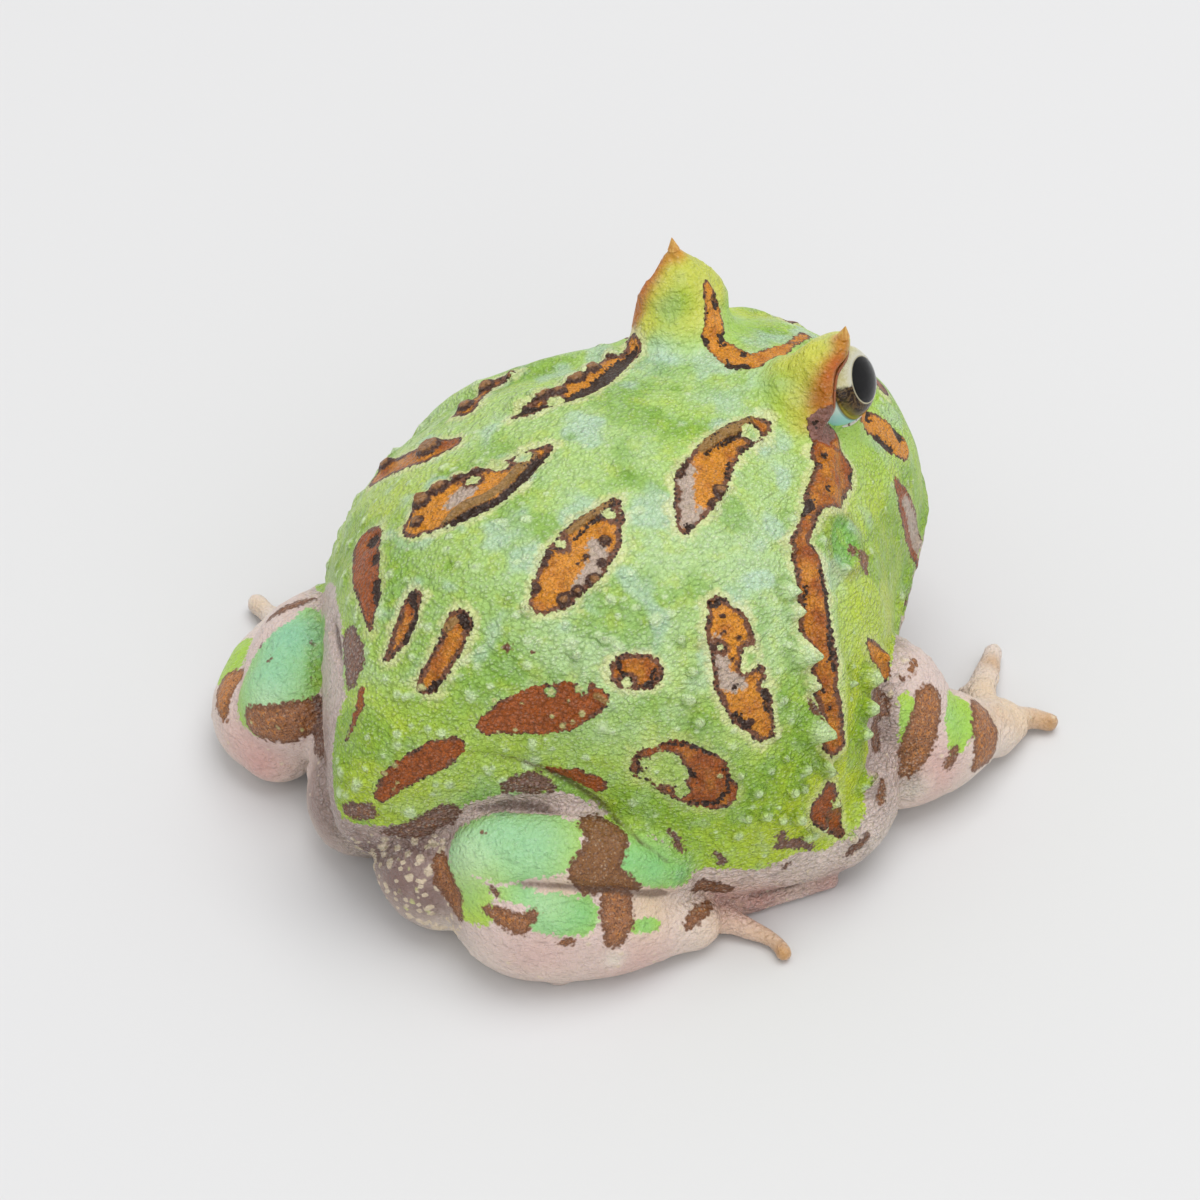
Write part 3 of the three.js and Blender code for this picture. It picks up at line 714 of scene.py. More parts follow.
def ribbon_distance(points, places, widths):
    """Signed distance to a tapering ribbon: to the nearest place of each straight piece, less
    the half width there; the least of all pieces."""
    if len(places) == 1:
        return length(points - places[0]) - widths[0]
    best = np.full(len(points), 1e3)
    for a, b, wa, wb in zip(places, places[1:], widths, widths[1:]):
        step = b - a
        t = np.clip((points - a) @ step / max(step @ step, 1e-6), 0, 1)
        gap = length(points - a - t[:, None] * step)
        best = np.minimum(best, gap - (wa + t * (wb - wa)))
    return best


print("tree over the skin made")

# %% [markdown]
# ## The spots
# Each dark-edged spot of the back and head has four entries: how warm its middle is (1 is orange,
# 0.5 red brown, 0 a greyish brown), how wide its dark margin is, the green islands in it, and its
# path as (x, y, half width) in pixels.
# %% Spot paths
SPOTS = {
    "shoulder_left": (0.8, 1, [(618, 352, 5), (556, 402, 4)], [
        (514, 418, 2), (530, 411, 5), (550, 402, 6), (575, 390, 9), (597, 379, 8), (615, 363, 9),
        (628, 352, 9), (642, 344, 2),
    ]),
    "back_left": (0.95, 1, [(524, 458, 6), (500, 466, 5), (473, 482, 4)], [
        (418, 523, 11), (435, 510, 18), (460, 500, 20), (485, 488, 19), (510, 473, 15), (530, 459, 10),
        (548, 448, 4),
    ]),
    "leaf": (0.75, 1, [(609, 515, 5), (561, 544, 4)], [
        (543, 602, 14), (556, 588, 24), (575, 562, 31), (592, 540, 28), (607, 520, 17), (617, 503, 5),
    ]),
    "small_drop_left": (0.55, 1, [], [(415, 598, 8), (407, 620, 10), (399, 640, 9), (388, 658, 4)]),
    "drop_left": (0.6, 1, [], [(459, 624, 14), (452, 645, 13), (441, 663, 13), (428, 683, 12)]),
    "loin": (0.12, 0.3, [(551, 692, 5), (582, 688, 5)], [
        (487, 725, 10), (510, 716, 19), (540, 710, 25), (565, 706, 25), (588, 700, 18), (601, 699, 9),
    ]),
    "rump": (0.1, 0.3, [], [(381, 796, 8), (394, 779, 14), (415, 766, 15), (440, 753, 16), (455, 746, 11)]),
    "rump_left": (0.45, 0.3, [], [(362, 692, 4), (361, 705, 5), (354, 722, 2.5), (346, 740, 2)]),
    "flank_left": (0.35, 0.6, [], [(367, 545, 10), (367, 575, 11), (371, 600, 9), (372, 628, 3)]),
    "edge_left": (0.6, 1, [], [
        (346, 492, 4), (362, 484, 8), (383, 474, 9), (405, 463, 8), (428, 453, 9), (452, 444, 5),
    ]),
    "edge_front": (0.6, 1, [], [(458, 415, 3), (468, 410, 6), (488, 388, 4), (512, 375, 3)]),
    "edge_rear": (0.5, 1, [], [(328, 540, 5), (328, 560, 5)]),
    "shoulder_right": (0.7, 1, [(751, 433, 7)], [
        (684, 527, 9), (692, 507, 19), (700, 485, 27), (712, 462, 22), (728, 443, 16), (745, 432, 15),
        (757, 427, 12), (762, 425, 8),
    ]),
    "flank_right": (0.75, 1, [(751, 658, 11), (745, 667, 6), (720, 647, 3), (765, 684, 4)], [
        (717, 606, 11), (728, 630, 23), (734, 655, 24), (740, 680, 27), (750, 705, 24), (762, 728, 14),
    ]),
    "round": (0.6, 1, [(627, 683, 5)], [(628, 672, 19), (645, 672, 19)]),
    "ring": (0.45, 0.5, [(664, 768, 16), (676, 775, 11), (646, 762, 5), (643, 775, 4), (682, 791, 6)], [
        (650, 765, 18), (675, 768, 28), (700, 780, 30), (718, 793, 20),
    ]),
    "strip": (0.2, 0.2, [], [(550, 772, 4), (575, 775, 8), (598, 783, 8)]),
    "belly_edge": (0.25, 0.7, [(833, 802, 5), (821, 827, 5)], [
        (828, 790, 6), (824, 806, 14), (832, 820, 12), (840, 834, 6),
    ]),
    "forehead": (0.75, 0.35, [], [
        (707, 287, 5), (714, 312, 8), (713, 338, 11), (735, 358, 10), (755, 362, 7), (778, 352, 5),
        (790, 346, 3), (804, 337, 3),
    ]),
    "snout_bar": (0.9, 0.35, [], [(864, 413, 5), (873, 425, 9), (887, 437, 10), (900, 448, 7)]),
    "snout_fleck": (0.2, 1, [], [(880, 386, 6)]),
    "jaw_spot": (0.7, 0.5, [], [(869, 643, 3), (876, 653, 5), (884, 665, 6), (884, 673, 4)]),
    "jaw_bar": (0.3, 0.4, [], [(894, 483, 3), (903, 502, 7), (910, 525, 9), (914, 548, 7), (914, 562, 3)]),
    "stripe": (0.55, 0.9, [], [
        (831, 448, 11), (833, 458, 12), (839, 470, 11), (834, 485, 17), (815, 500, 12), (811, 512, 9),
        (804, 530, 9), (799, 545, 12), (808, 560, 14), (813, 580, 15), (816, 620, 17), (820, 640, 16),
        (826, 660, 14), (825, 690, 13), (832, 710, 11), (833, 740, 12), (833, 750, 6),
    ]),
    "stripe_top": (-0.4, 0.1, [], [(829, 413, 4), (824, 424, 8), (826, 437, 10), (832, 450, 10)]),
}
print("spots:", len(SPOTS))

# %% [markdown]
# Inside a spot there is more: an orange and a greyish part, a lid-like fold of skin along one
# side with a painted dark shadow under it, dark marks of the spot's own, brown pyramid warts,
# and a few cream ones.
# %% Strokes inside the spots
GREY_STROKES = [
    [(594, 546, 8), (602, 560, 13), (592, 575, 13), (579, 590, 9)],
    [(687, 467, 9), (683, 487, 12), (684, 508, 12), (688, 523, 8)], [(700, 512, 7), (698, 522, 6)],
    [(716, 640, 5), (720, 662, 9), (724, 680, 10), (735, 682, 11), (745, 685, 3)],
    [(449, 507, 4), (458, 498, 7), (468, 492, 6)], [(612, 500, 3), (604, 508, 3)],
    [(904, 500, 3), (912, 522, 6), (916, 548, 5)],
]
FOLD_STROKES = [
    [(568, 534, 3), (575, 529, 4), (586, 520, 4), (597, 513, 4), (609, 503, 4), (615, 498, 2)],
    [(444, 525, 2), (455, 515, 4), (466, 507, 4.5), (485, 499, 4), (503, 489, 4), (518, 470, 4)],
    [(518, 470, 4), (527, 461, 4), (535, 456, 2)],
    [(700, 453, 3), (706, 447, 5), (714, 440, 5), (727, 433, 5), (740, 428, 5), (750, 419, 3)],
    [(456, 621, 4), (449, 628, 5)], [(608, 702, 3), (597, 695, 4)],
]
# dark strokes: those running just below the folds paint the folds' shadow; the others are dark marks of the
# skin
DARK_AND_SHADOW_STROKES = [
    [(573, 538, 2.5), (581, 531, 3), (591, 523, 3.5), (601, 516, 3.5), (613, 505, 3.5)],
    [(447, 529, 3), (462, 518, 5), (478, 510, 5), (495, 503, 4), (508, 493, 4), (522, 478, 5)],
    [(522, 478, 5), (536, 465, 5), (548, 455, 4)],
    [(705, 454, 2.5), (716, 447, 2.5), (731, 438, 4.5), (741, 434, 3)],
    [(757, 435, 3), (750, 446, 3), (741, 451, 3)], [(728, 463, 3), (727, 478, 3)], [(690, 527, 5)],
    [(520, 413, 3), (545, 406, 2), (565, 400, 3), (582, 393, 4), (598, 383, 4.5)],
    [(598, 383, 4.5), (612, 372, 5), (622, 362, 5), (634, 352, 4)],
    [(617, 664, 4), (622, 673, 3), (629, 681, 3)], [(656, 670, 4), (653, 683, 4), (640, 689, 3)],
    [(711, 605, 4), (721, 601, 4)], [(734, 687, 4)], [(765, 693, 5), (768, 708, 4)],
    [(736, 715, 4), (748, 726, 5)], [(702, 296, 3), (705, 292, 2)], [(716, 306, 2.5), (714, 299, 2)],
    [(707, 314, 3)], [(705, 340, 4.5), (708, 348, 3)], [(721, 336, 4), (723, 345, 3)],
    [(726, 362, 3), (737, 366, 4), (748, 366, 3)], [(743, 354, 2.5)], [(824, 455, 4)], [(816, 425, 4)],
    [(852, 480, 6)], [(808, 505, 8), (800, 513, 5)],
    [(822, 570, 2), (828, 600, 2.5), (831, 640, 3), (835, 668, 3)], [(829, 660, 3)], [(823, 690, 3)],
    [(829, 708, 3)], [(806, 585, 2.5), (803, 610, 2.5)], [(829, 488, 3.5)],
    [(412, 594, 5), (417, 617, 3), (406, 642, 4)], [(463, 619, 7), (468, 630, 4)],
    [(437, 684, 6), (430, 690, 4)], [(466, 650, 4), (458, 662, 4)], [(373, 541, 6)], [(376, 559, 6)],
    [(377, 585, 5), (378, 602, 4)], [(637, 757, 3), (640, 775, 2.5), (650, 786, 3)],
    [(662, 745, 2), (690, 744, 3), (712, 754, 3)],
    [(724, 768, 2.5), (731, 786, 3), (718, 804, 3), (690, 803, 2.5)], [(690, 773, 4), (698, 783, 3)],
    [(893, 427, 3), (898, 438, 3)], [(876, 440, 4), (890, 450, 3)], [(866, 410, 3), (868, 418, 3)],
]
WARTS = [
    (605, 542, 6), (586, 558, 3.5), (578, 565, 3), (602, 564, 5), (594, 581, 8), (578, 592, 7),
    (564, 600, 8), (536, 589, 6), (543, 565, 5), (548, 555, 5), (720, 492, 7), (714, 504, 6), (679, 474, 5),
    (682, 466, 5), (723, 633, 3.5), (738, 638, 3.5), (731, 659, 3), (722, 616, 3.5), (713, 648, 4.5),
    (757, 637, 5), (750, 722, 5), (423, 502, 7), (440, 489, 7), (458, 478, 6), (476, 472, 5), (493, 463, 4),
    (417, 522, 6), (520, 404, 6), (541, 397, 6), (560, 393, 4), (575, 380, 6), (590, 371, 6), (611, 355, 6),
    (352, 484, 5), (368, 474, 6), (388, 466, 5), (430, 449, 7), (467, 408, 5), (487, 388, 5), (512, 376, 5),
]
CREAM_WARTS = [
    (498, 731, 3), (515, 729, 3), (563, 725, 4.5), (552, 715, 3.5), (573, 721, 3.5), (582, 713, 5),
    (522, 704, 3), (568, 700, 3), (398, 782, 3), (394, 789, 3), (252, 722, 3), (278, 727, 3), (302, 730, 3),
    (401, 891, 3.5), (413, 901, 3.5), (406, 908, 3), (428, 910, 3), (418, 888, 3), (399, 860, 3),
    (409, 868, 3), (720, 776, 4), (660, 750, 3), (551, 691, 5), (579, 688, 5), (422, 687, 6), (800, 609, 4),
    (396, 764, 4), (386, 772, 4), (495, 700, 4),
]
print("strokes:", len(GREY_STROKES), len(FOLD_STROKES), len(DARK_AND_SHADOW_STROKES), "warts:", len(WARTS))

# %% [markdown]
# The limbs, the flank and the rump have plainer marks: a warmth and a path for each. Green
# patches lie on the bare skin of the legs and arms.
# %% Bands and green patches
BANDS = [
    # right leg
    (1.3, [(592, 824, 12), (608, 838, 21), (601, 860, 24), (594, 874, 27), (640, 889, 6)]),
    (0.15, [(700, 885, 7), (725, 888, 5)]),
    (0.35, [(442, 862, 7), (449, 880, 9), (455, 900, 8), (460, 915, 4)]),
    (0.4, [(485, 908, 5), (500, 916, 10), (520, 925, 12), (535, 914, 6)]),
    (0.4, [(562, 943, 5), (572, 942, 5)]), (0.35, [(617, 903, 18), (618, 922, 18), (615, 938, 12)]),
    (0.35, [(688, 925, 7), (700, 912, 10), (708, 905, 7)]), (0.1, [(482, 832, 4)]),
    (0.1, [(492, 888, 4), (498, 894, 4)]),
    # left leg
    (0.35, [(255, 722, 15), (285, 725, 21), (312, 715, 19)]),
    (0.6, [(243, 672, 4), (228, 682, 9), (222, 700, 9), (225, 718, 4)]), (0.1, [(260, 646, 2.5)]),
    (0.1, [(270, 660, 3)]), (0.1, [(312, 644, 3.5)]), (0.1, [(311, 680, 3)]),
    (0.2, [(270, 618, 3), (290, 607, 4), (310, 600, 3)]),
    # right arm
    (0.4, [(929, 702, 14), (922, 730, 17), (914, 755, 16), (908, 770, 10)]),
    (0.4, [(982, 712, 8), (986, 730, 12), (987, 750, 10), (978, 764, 5)]),
    (0.3, [(955, 750, 5), (948, 765, 5)]),
    # round the rump
    (0.0, [(385, 833, 4), (415, 830, 11), (445, 815, 12), (452, 812, 8)]),
    (0.0, [(508, 786, 8), (530, 783, 12), (548, 788, 8)]),
    (0.0, [(350, 640, 8), (355, 660, 11), (352, 676, 8)]),
    (0.0, [(318, 712, 8), (322, 740, 8), (324, 760, 4)]), (0.1, [(347, 811, 8), (367, 812, 10)]),
    # throat, chest and flank
    (0.1, [(902, 598, 5), (904, 606, 4)]), (0.9, [(914, 662, 5), (911, 674, 4)]), (0.2, [(903, 680, 5)]),
    (0.1, [(877, 697, 6), (880, 707, 7), (876, 716, 5)]), (0.1, [(874, 730, 6), (875, 743, 5)]),
    (0.4, [(882, 783, 5), (881, 800, 5)]), (0.1, [(868, 836, 4), (855, 848, 5), (848, 856, 3)]),
    (0.1, [(779, 845, 5), (797, 843, 6), (812, 846, 4)]), (0.1, [(786, 866, 4)]),
    # flecks on the green, and by the eardrum
    (0.2, [(508, 648, 6)]), (0.2, [(532, 652, 3.5)]), (0.1, [(668, 830, 4), (676, 840, 6), (683, 850, 4)]),
    (0.1, [(810, 702, 4), (815, 712, 5)]), (0.1, [(781, 836, 6)]), (0.0, [(716, 852, 4), (722, 862, 6)]),
    (0.2, [(852, 550, 7)]), (0.3, [(863, 562, 6), (865, 570, 3)]),
]
GREEN_PATCHES = [
    [(612, 818, 6), (632, 832, 9), (652, 847, 9), (672, 858, 9), (690, 866, 6)],
    [(465, 846, 24), (505, 843, 36), (545, 842, 31), (575, 828, 8)],
    [(452, 880, 9), (470, 897, 18), (480, 910, 12)], [(505, 893, 8), (530, 897, 8)],
    [(547, 914, 20), (580, 917, 19)], [(637, 927, 6), (655, 924, 6)],
    [(640, 862, 19), (665, 868, 22), (685, 878, 10)],
    [(310, 618, 12), (302, 652, 26), (275, 672, 32), (252, 700, 18)], [(235, 652, 9), (228, 668, 9)],
    [(906, 700, 7), (907, 720, 7), (904, 738, 5)], [(957, 708, 10), (959, 725, 14), (958, 740, 9)],
]
print("bands:", len(BANDS), "green patches:", len(GREEN_PATCHES))

# %% [markdown]
# ## Fields on the skin
# The markings aren't painted point by point: the skin stores distances to them, in
# millimetres, and the material cuts edges out of these smooth fields. The side away from the
# photograph gets the mirror of the markings that wouldn't be seen.
# %% Spot fields
SKIN_POINTS = read_points(skin)
X, Y, Z = SKIN_POINTS.T
COUNT = len(SKIN_POINTS)
FAR = 50.0
SEEN_GAP = 2


def is_hidden(places):
    """True if the camera sees none of the places: rays to them meet the skin first."""
    for place in places:
        hit = TREE.ray_cast(Vector(EYE_POINT), Vector(unit(place - EYE_POINT)))[0]
        if hit is None or length(np.array(hit) - place) < SEEN_GAP:
            return False
    return True


def with_mirror(places, widths):
    """The ribbon, and its mirror image where that is out of the camera's sight."""
    made = [(places, widths)]
    other = np.array([nearest(mirrored(place, -1)) for place in places])
    if is_hidden(other):
        made.append((other, widths))
    return made


spot = np.full(COUNT, FAR)
warmth = np.zeros(COUNT)
margin_width = np.ones(COUNT)
for warm, margin, islands, path in SPOTS.values():
    for places, widths in with_mirror(*ribbon(path)):
        distance = ribbon_distance(SKIN_POINTS, places, widths)
        for island in islands:
            middle, size = ribbon([island])
            if places[0][0] * middle[0][0] < 0:
                middle = np.array([nearest(mirrored(middle[0], -1))])
            distance = np.maximum(distance, -ribbon_distance(SKIN_POINTS, middle, size))
        closer = distance < spot
        warmth[closer] = warm
        margin_width[closer] = margin
        spot = np.minimum(spot, distance)
print("spot field: least", spot.min().round(2))

# %% Stroke fields


def mark_distances(path):
    """Signed distances to a path, and to its mirror image where that is hidden."""
    places, widths = ribbon(path)
    if len(places):
        for each in with_mirror(places, widths):
            yield ribbon_distance(SKIN_POINTS, *each)


def stroke_field(paths):
    """The least signed distance to any of the paths, or of their hidden mirror images."""
    least = np.full(COUNT, FAR)
    for path in paths:
        for distance in mark_distances(path):
            least = np.minimum(least, distance)
    return least


band = np.full(COUNT, FAR)
band_warmth = np.zeros(COUNT)
for warm, path in BANDS:
    for distance in mark_distances(path):
        band_warmth[distance < band] = warm
        band = np.minimum(band, distance)
grey = stroke_field(GREY_STROKES)
fold_edge = stroke_field(FOLD_STROKES)
dark = stroke_field(DARK_AND_SHADOW_STROKES)
wart = stroke_field([[place] for place in WARTS])
cream_wart = stroke_field([[(x, y, 0.75 * size)] for x, y, size in CREAM_WARTS])
print("least distances:", [each.min().round(2) for each in (band, grey, dark, wart)])

# %% [markdown]
# ## Where the green ends
# The green of the back stops at a ragged line along the flank, higher at the throat and the
# thighs. The line is a level for each place along Y, with a tongue at the rear left where the
# skin is pulled up by the thigh.
# %% Border field
BORDER_ALONG = [-48, -40, -30, -24, -20, -15, -9, -5, 0, 8, 16, 20, 24, 27, 30, 36, 42, 46, 49]
BORDER_RIGHT = [22, 20, 16, 17, 20, 20, 16, 11, 11, 12, 11, 13, 17, 21, 23.5, 23, 19.5, 17.5, 17]
BORDER_LEFT = [22, 20, 16, 17, 20, 20, 16, 13, 13, 13, 13, 16, 22, 28, 32, 33, 30, 22, 17]
BORDER_SEEN = [
    (903, 641), (888, 668), (887, 680), (872, 689), (867, 728), (867, 755), (869, 770),
    (864, 800), (863, 821), (851, 833), (834, 842), (825, 851), (800, 850), (756, 870),
    (736, 868), (716, 868), (696, 870),
]
BORDER_FADE = 3
seen_border = np.array([seen(x, y) for x, y in BORDER_SEEN])
seen_border = seen_border[np.argsort(seen_border[:, 1])]
along = np.clip(Y, seen_border[0, 1], seen_border[-1, 1])
past = smooth_step(np.abs(Y - along), 0, BORDER_FADE)
read_level = np.interp(along, seen_border[:, 1], seen_border[:, 2])
levels = [np.interp(Y, BORDER_ALONG, each) for each in (BORDER_RIGHT, BORDER_LEFT)]
right, left = (read_level + (level - read_level) * past for level in levels)
green = Z - (right + (left - right) * smooth_step(X, 1, 6))
print("border read from y", seen_border[:, 1].round(1), "levels", seen_border[:, 2].round(1))


def off_trunk(points):
    """How far a point lies outside the trunk's loft, in millimetres, from its ring there."""
    u = ring_at(points[:, 1])
    rise = points[:, 2] - spline(LEVEL, u)
    wide, tall, _ = ring_sizes(u, rise)
    wide = np.maximum(wide, 0.1)
    share = np.hypot((points[:, 0] - spline(SWAY, u)) / wide, rise / np.maximum(tall, 0.1))
    return (share - 1) * np.minimum(wide, tall)


limb_share = smooth_step(off_trunk(SKIN_POINTS), 1.5, 4.5) * smooth_step(34 - Z, 0, 8)
flank = smooth_step(Y, -15, -12) * smooth_step(9 - Y, 0, 3)
limb_share *= 1 - flank * smooth_step(Z, 4.5, 6)
green = green - 40 * limb_share
for path in GREEN_PATCHES:
    for distance in mark_distances(path):
        green = np.maximum(green, -distance)
print("green field from", green.min().round(1), "to", green.max().round(1), "mm")

# %% [markdown]
# ## Soft colours
# Under the markings the green and the bare skin both drift: mint patches on the neck and
# shanks, yellow round the brows, pink towards the belly. These are broad soft tints, listed one
# by one, kept as two colours at each point.
# %% Tints


def linear(red, green_part, blue):
    """A colour as it looks on a screen, 0 to 255, as light: the sRGB curve undone."""
    share = np.array([red, green_part, blue]) / 255
    return np.where(share <= 0.04045, share / 12.92, ((share + 0.055) / 1.055) ** 2.4)


LIME = linear(172, 210, 66)
DEEP_GREEN = linear(124, 174, 36)
YELLOW_GREEN = linear(196, 214, 28)
PALE_MINT = linear(198, 226, 184)
PALE_BLUE = linear(190, 220, 204)
MINT = linear(144, 206, 170)
LEAF_MINT = linear(134, 200, 124)
BROW_YELLOW = linear(208, 208, 78)
OLIVE = linear(172, 172, 74)
RUST = linear(190, 90, 4)
ORANGE = linear(218, 132, 34)
CREAM = linear(232, 232, 172)
FLESH = linear(220, 198, 190)
PINK = linear(214, 166, 158)
PURPLE = linear(118, 88, 82)
SAND = linear(228, 202, 172)
OCHRE = linear(196, 146, 84)
BELLY_CREAM = linear(234, 222, 208)


def tinted(colours, weight, colour):
    """Each colour moves towards another by its weight."""
    return colours + weight[:, None] * (colour - colours)


def bell(centre, radius):
    """1 at a place, falling off with the distance over the radius."""
    return peak(length(SKIN_POINTS - centre), 0, radius)


def both_sides(place):
    """The place, and its mirror image where the camera can't see that."""
    other = nearest(mirrored(place, -1))
    return [place, other] if is_hidden([other]) else [place]


def hand_tinted(colours, rows, sides=lambda place: [place]):
    """Tints laid on at places of the photograph: (x, y, radius in mm, colour, share)."""
    for x, y, radius, colour, share in rows:
        place = seen(x, y)
        for each in [] if place is None else sides(place):
            colours = tinted(colours, share * bell(each, radius), colour)
    return colours


UPPER_TINTS = [
    (655, 363, 3.3, PALE_BLUE, 0.95), (722, 403, 3.3, PALE_BLUE, 0.95), (748, 312, 3.0, BROW_YELLOW, 0.6),
    (778, 318, 3.0, BROW_YELLOW, 0.6), (588, 425, 2.6, PALE_MINT, 0.6), (640, 445, 3.0, PALE_MINT, 0.6),
    (770, 460, 3.0, PALE_MINT, 0.55), (745, 520, 3.4, PALE_MINT, 0.45), (664, 545, 4.0, PALE_MINT, 0.4),
    (620, 385, 3.0, DEEP_GREEN, 0.4), (690, 430, 3.0, DEEP_GREEN, 0.35), (500, 840, 9, MINT, 0.95),
    (545, 840, 5, MINT, 0.9), (470, 900, 6, YELLOW_GREEN, 0.8), (550, 915, 4, MINT, 0.75),
    (585, 900, 3, DEEP_GREEN, 0.4), (640, 862, 3.5, MINT, 0.6), (675, 875, 3, DEEP_GREEN, 0.5),
    (290, 635, 6, MINT, 0.95), (270, 680, 6, MINT, 0.85), (265, 705, 3, PALE_MINT, 0.6),
    (945, 712, 2, MINT, 0.3), (780, 405, 3.0, YELLOW_GREEN, 0.6), (750, 310, 2.6, YELLOW_GREEN, 0.6),
    (890, 630, 6, YELLOW_GREEN, 0.9), (860, 600, 6, YELLOW_GREEN, 0.7), (880, 560, 6, YELLOW_GREEN, 0.7),
    (840, 500, 5, YELLOW_GREEN, 0.6), (850, 760, 10, YELLOW_GREEN, 0.95), (858, 690, 8, YELLOW_GREEN, 0.8),
    (800, 830, 9, YELLOW_GREEN, 0.9), (620, 850, 9, YELLOW_GREEN, 0.5), (350, 790, 5, YELLOW_GREEN, 0.5),
    (440, 800, 8, YELLOW_GREEN, 0.7), (380, 520, 12, YELLOW_GREEN, 0.6), (380, 570, 9, DEEP_GREEN, 0.6),
    (400, 720, 9, YELLOW_GREEN, 0.5), (470, 690, 12, DEEP_GREEN, 0.45), (440, 640, 10, DEEP_GREEN, 0.35),
    (520, 760, 6, YELLOW_GREEN, 0.5), (700, 430, 8, LIME, 0.6), (550, 370, 10, LIME, 0.5),
    (770, 620, 8, PALE_MINT, 0.5), (740, 560, 5, PALE_MINT, 0.3), (600, 645, 9, PALE_MINT, 0.5),
    (750, 330, 5, DEEP_GREEN, 0.4), (880, 520, 6, YELLOW_GREEN, 0.6), (700, 730, 8, PALE_MINT, 0.35),
    (700, 730, 8, YELLOW_GREEN, 0.35), (840, 780, 4, YELLOW_GREEN, 0.6), (625, 858, 3.5, LEAF_MINT, 0.95),
    (655, 868, 3.5, LEAF_MINT, 0.95), (680, 876, 2.5, LEAF_MINT, 0.9), (550, 915, 3, LEAF_MINT, 0.9),
    (582, 915, 3, LEAF_MINT, 0.9), (645, 926, 2.5, LEAF_MINT, 0.7), (530, 896, 2.5, LEAF_MINT, 0.8),
    (470, 897, 3, LEAF_MINT, 0.5), (455, 838, 5, PALE_MINT, 0.55), (448, 852, 4, MINT, 0.5),
    (490, 828, 5, MINT, 0.5), (545, 905, 3, PALE_MINT, 0.45), (470, 860, 3, PALE_MINT, 0.4),
    (958, 725, 3.5, LEAF_MINT, 0.35), (907, 720, 3, LEAF_MINT, 0.4),
]
crown = smooth_step(Z, 20, 42) * smooth_step(Y, -40, -10)
upper = tinted(np.tile(LIME, (COUNT, 1)), 0.42 * crown, PALE_MINT)
upper = hand_tinted(upper, UPPER_TINTS)
print("green of the back", upper.mean(0).round(3))

# %% Eardrums and brows


def head_local(points, side):
    """Places from an eyeball's middle, with the head's turn undone: out, backwards and up."""
    rel = points - eye_middle(side)
    cosine, sine = np.cos(HEAD_TURN), np.sin(HEAD_TURN)
    out = (rel[:, 0] * cosine + rel[:, 1] * sine) * side
    return np.stack([out, rel[:, 1] * cosine - rel[:, 0] * sine, rel[:, 2]], 1)


DRUM_PIXEL = (841, 542)
DRUM_GREEN = linear(122, 200, 112)
drums = [seen(*DRUM_PIXEL), nearest(mirrored(seen(*DRUM_PIXEL), -1))]
eardrum = np.min([length(SKIN_POINTS - place) for place in drums], axis=0)
upper = tinted(upper, 0.85 * smooth_step(4.0 - eardrum, 0, 1.2), DRUM_GREEN)
upper = tinted(upper, 0.85 * peak(eardrum, 4.3, 0.9), OLIVE)

brow_near = np.zeros(COUNT)
for side in SIDES.values():
    local = head_local(SKIN_POINTS, side)
    out, back, up = local.T
    away = length(local)
    near = smooth_step(12 - away, 0, 3.2)
    level = up + 3.4 * smooth_step(out, -3, 1)
    upper = tinted(upper, 0.95 * near * smooth_step(level, 0.6, 4), BROW_YELLOW)
    brow_near = np.maximum(brow_near, near)
    opening = lid_opening(unit(SKIN_POINTS - eye_middle(side)), side)
    margin = smooth_step(opening, -1.0 + 0.03 * up, -0.4) * smooth_step(10 - away, 0, 2)
    margin = margin * smooth_step(back, -1.5, 1.5) * smooth_step(out, 0, 2.5)
    margin = margin * smooth_step(up, -2.5, -0.5)
    upper = tinted(upper, 0.9 * margin, RUST)
    horn_gap = length(local - unit(HORN_WAY) * 9.8)
    upper = tinted(upper, 0.9 * smooth_step(3.4 - horn_gap, 0, 2.2), ORANGE)

BROW_TINTS = [
    (680, 300, 2.2, DEEP_GREEN, 0.6), (668, 314, 2.0, DEEP_GREEN, 0.6), (776, 380, 2.2, DEEP_GREEN, 0.5),
    (803, 420, 2.5, BROW_YELLOW, 0.6), (826, 384, 2.1, RUST, 0.95), (819, 400, 1.9, RUST, 0.9),
    (837, 366, 1.7, RUST, 0.9),
]
upper = hand_tinted(upper, BROW_TINTS, both_sides)
print("greens with the brows", upper.mean(0).round(3))

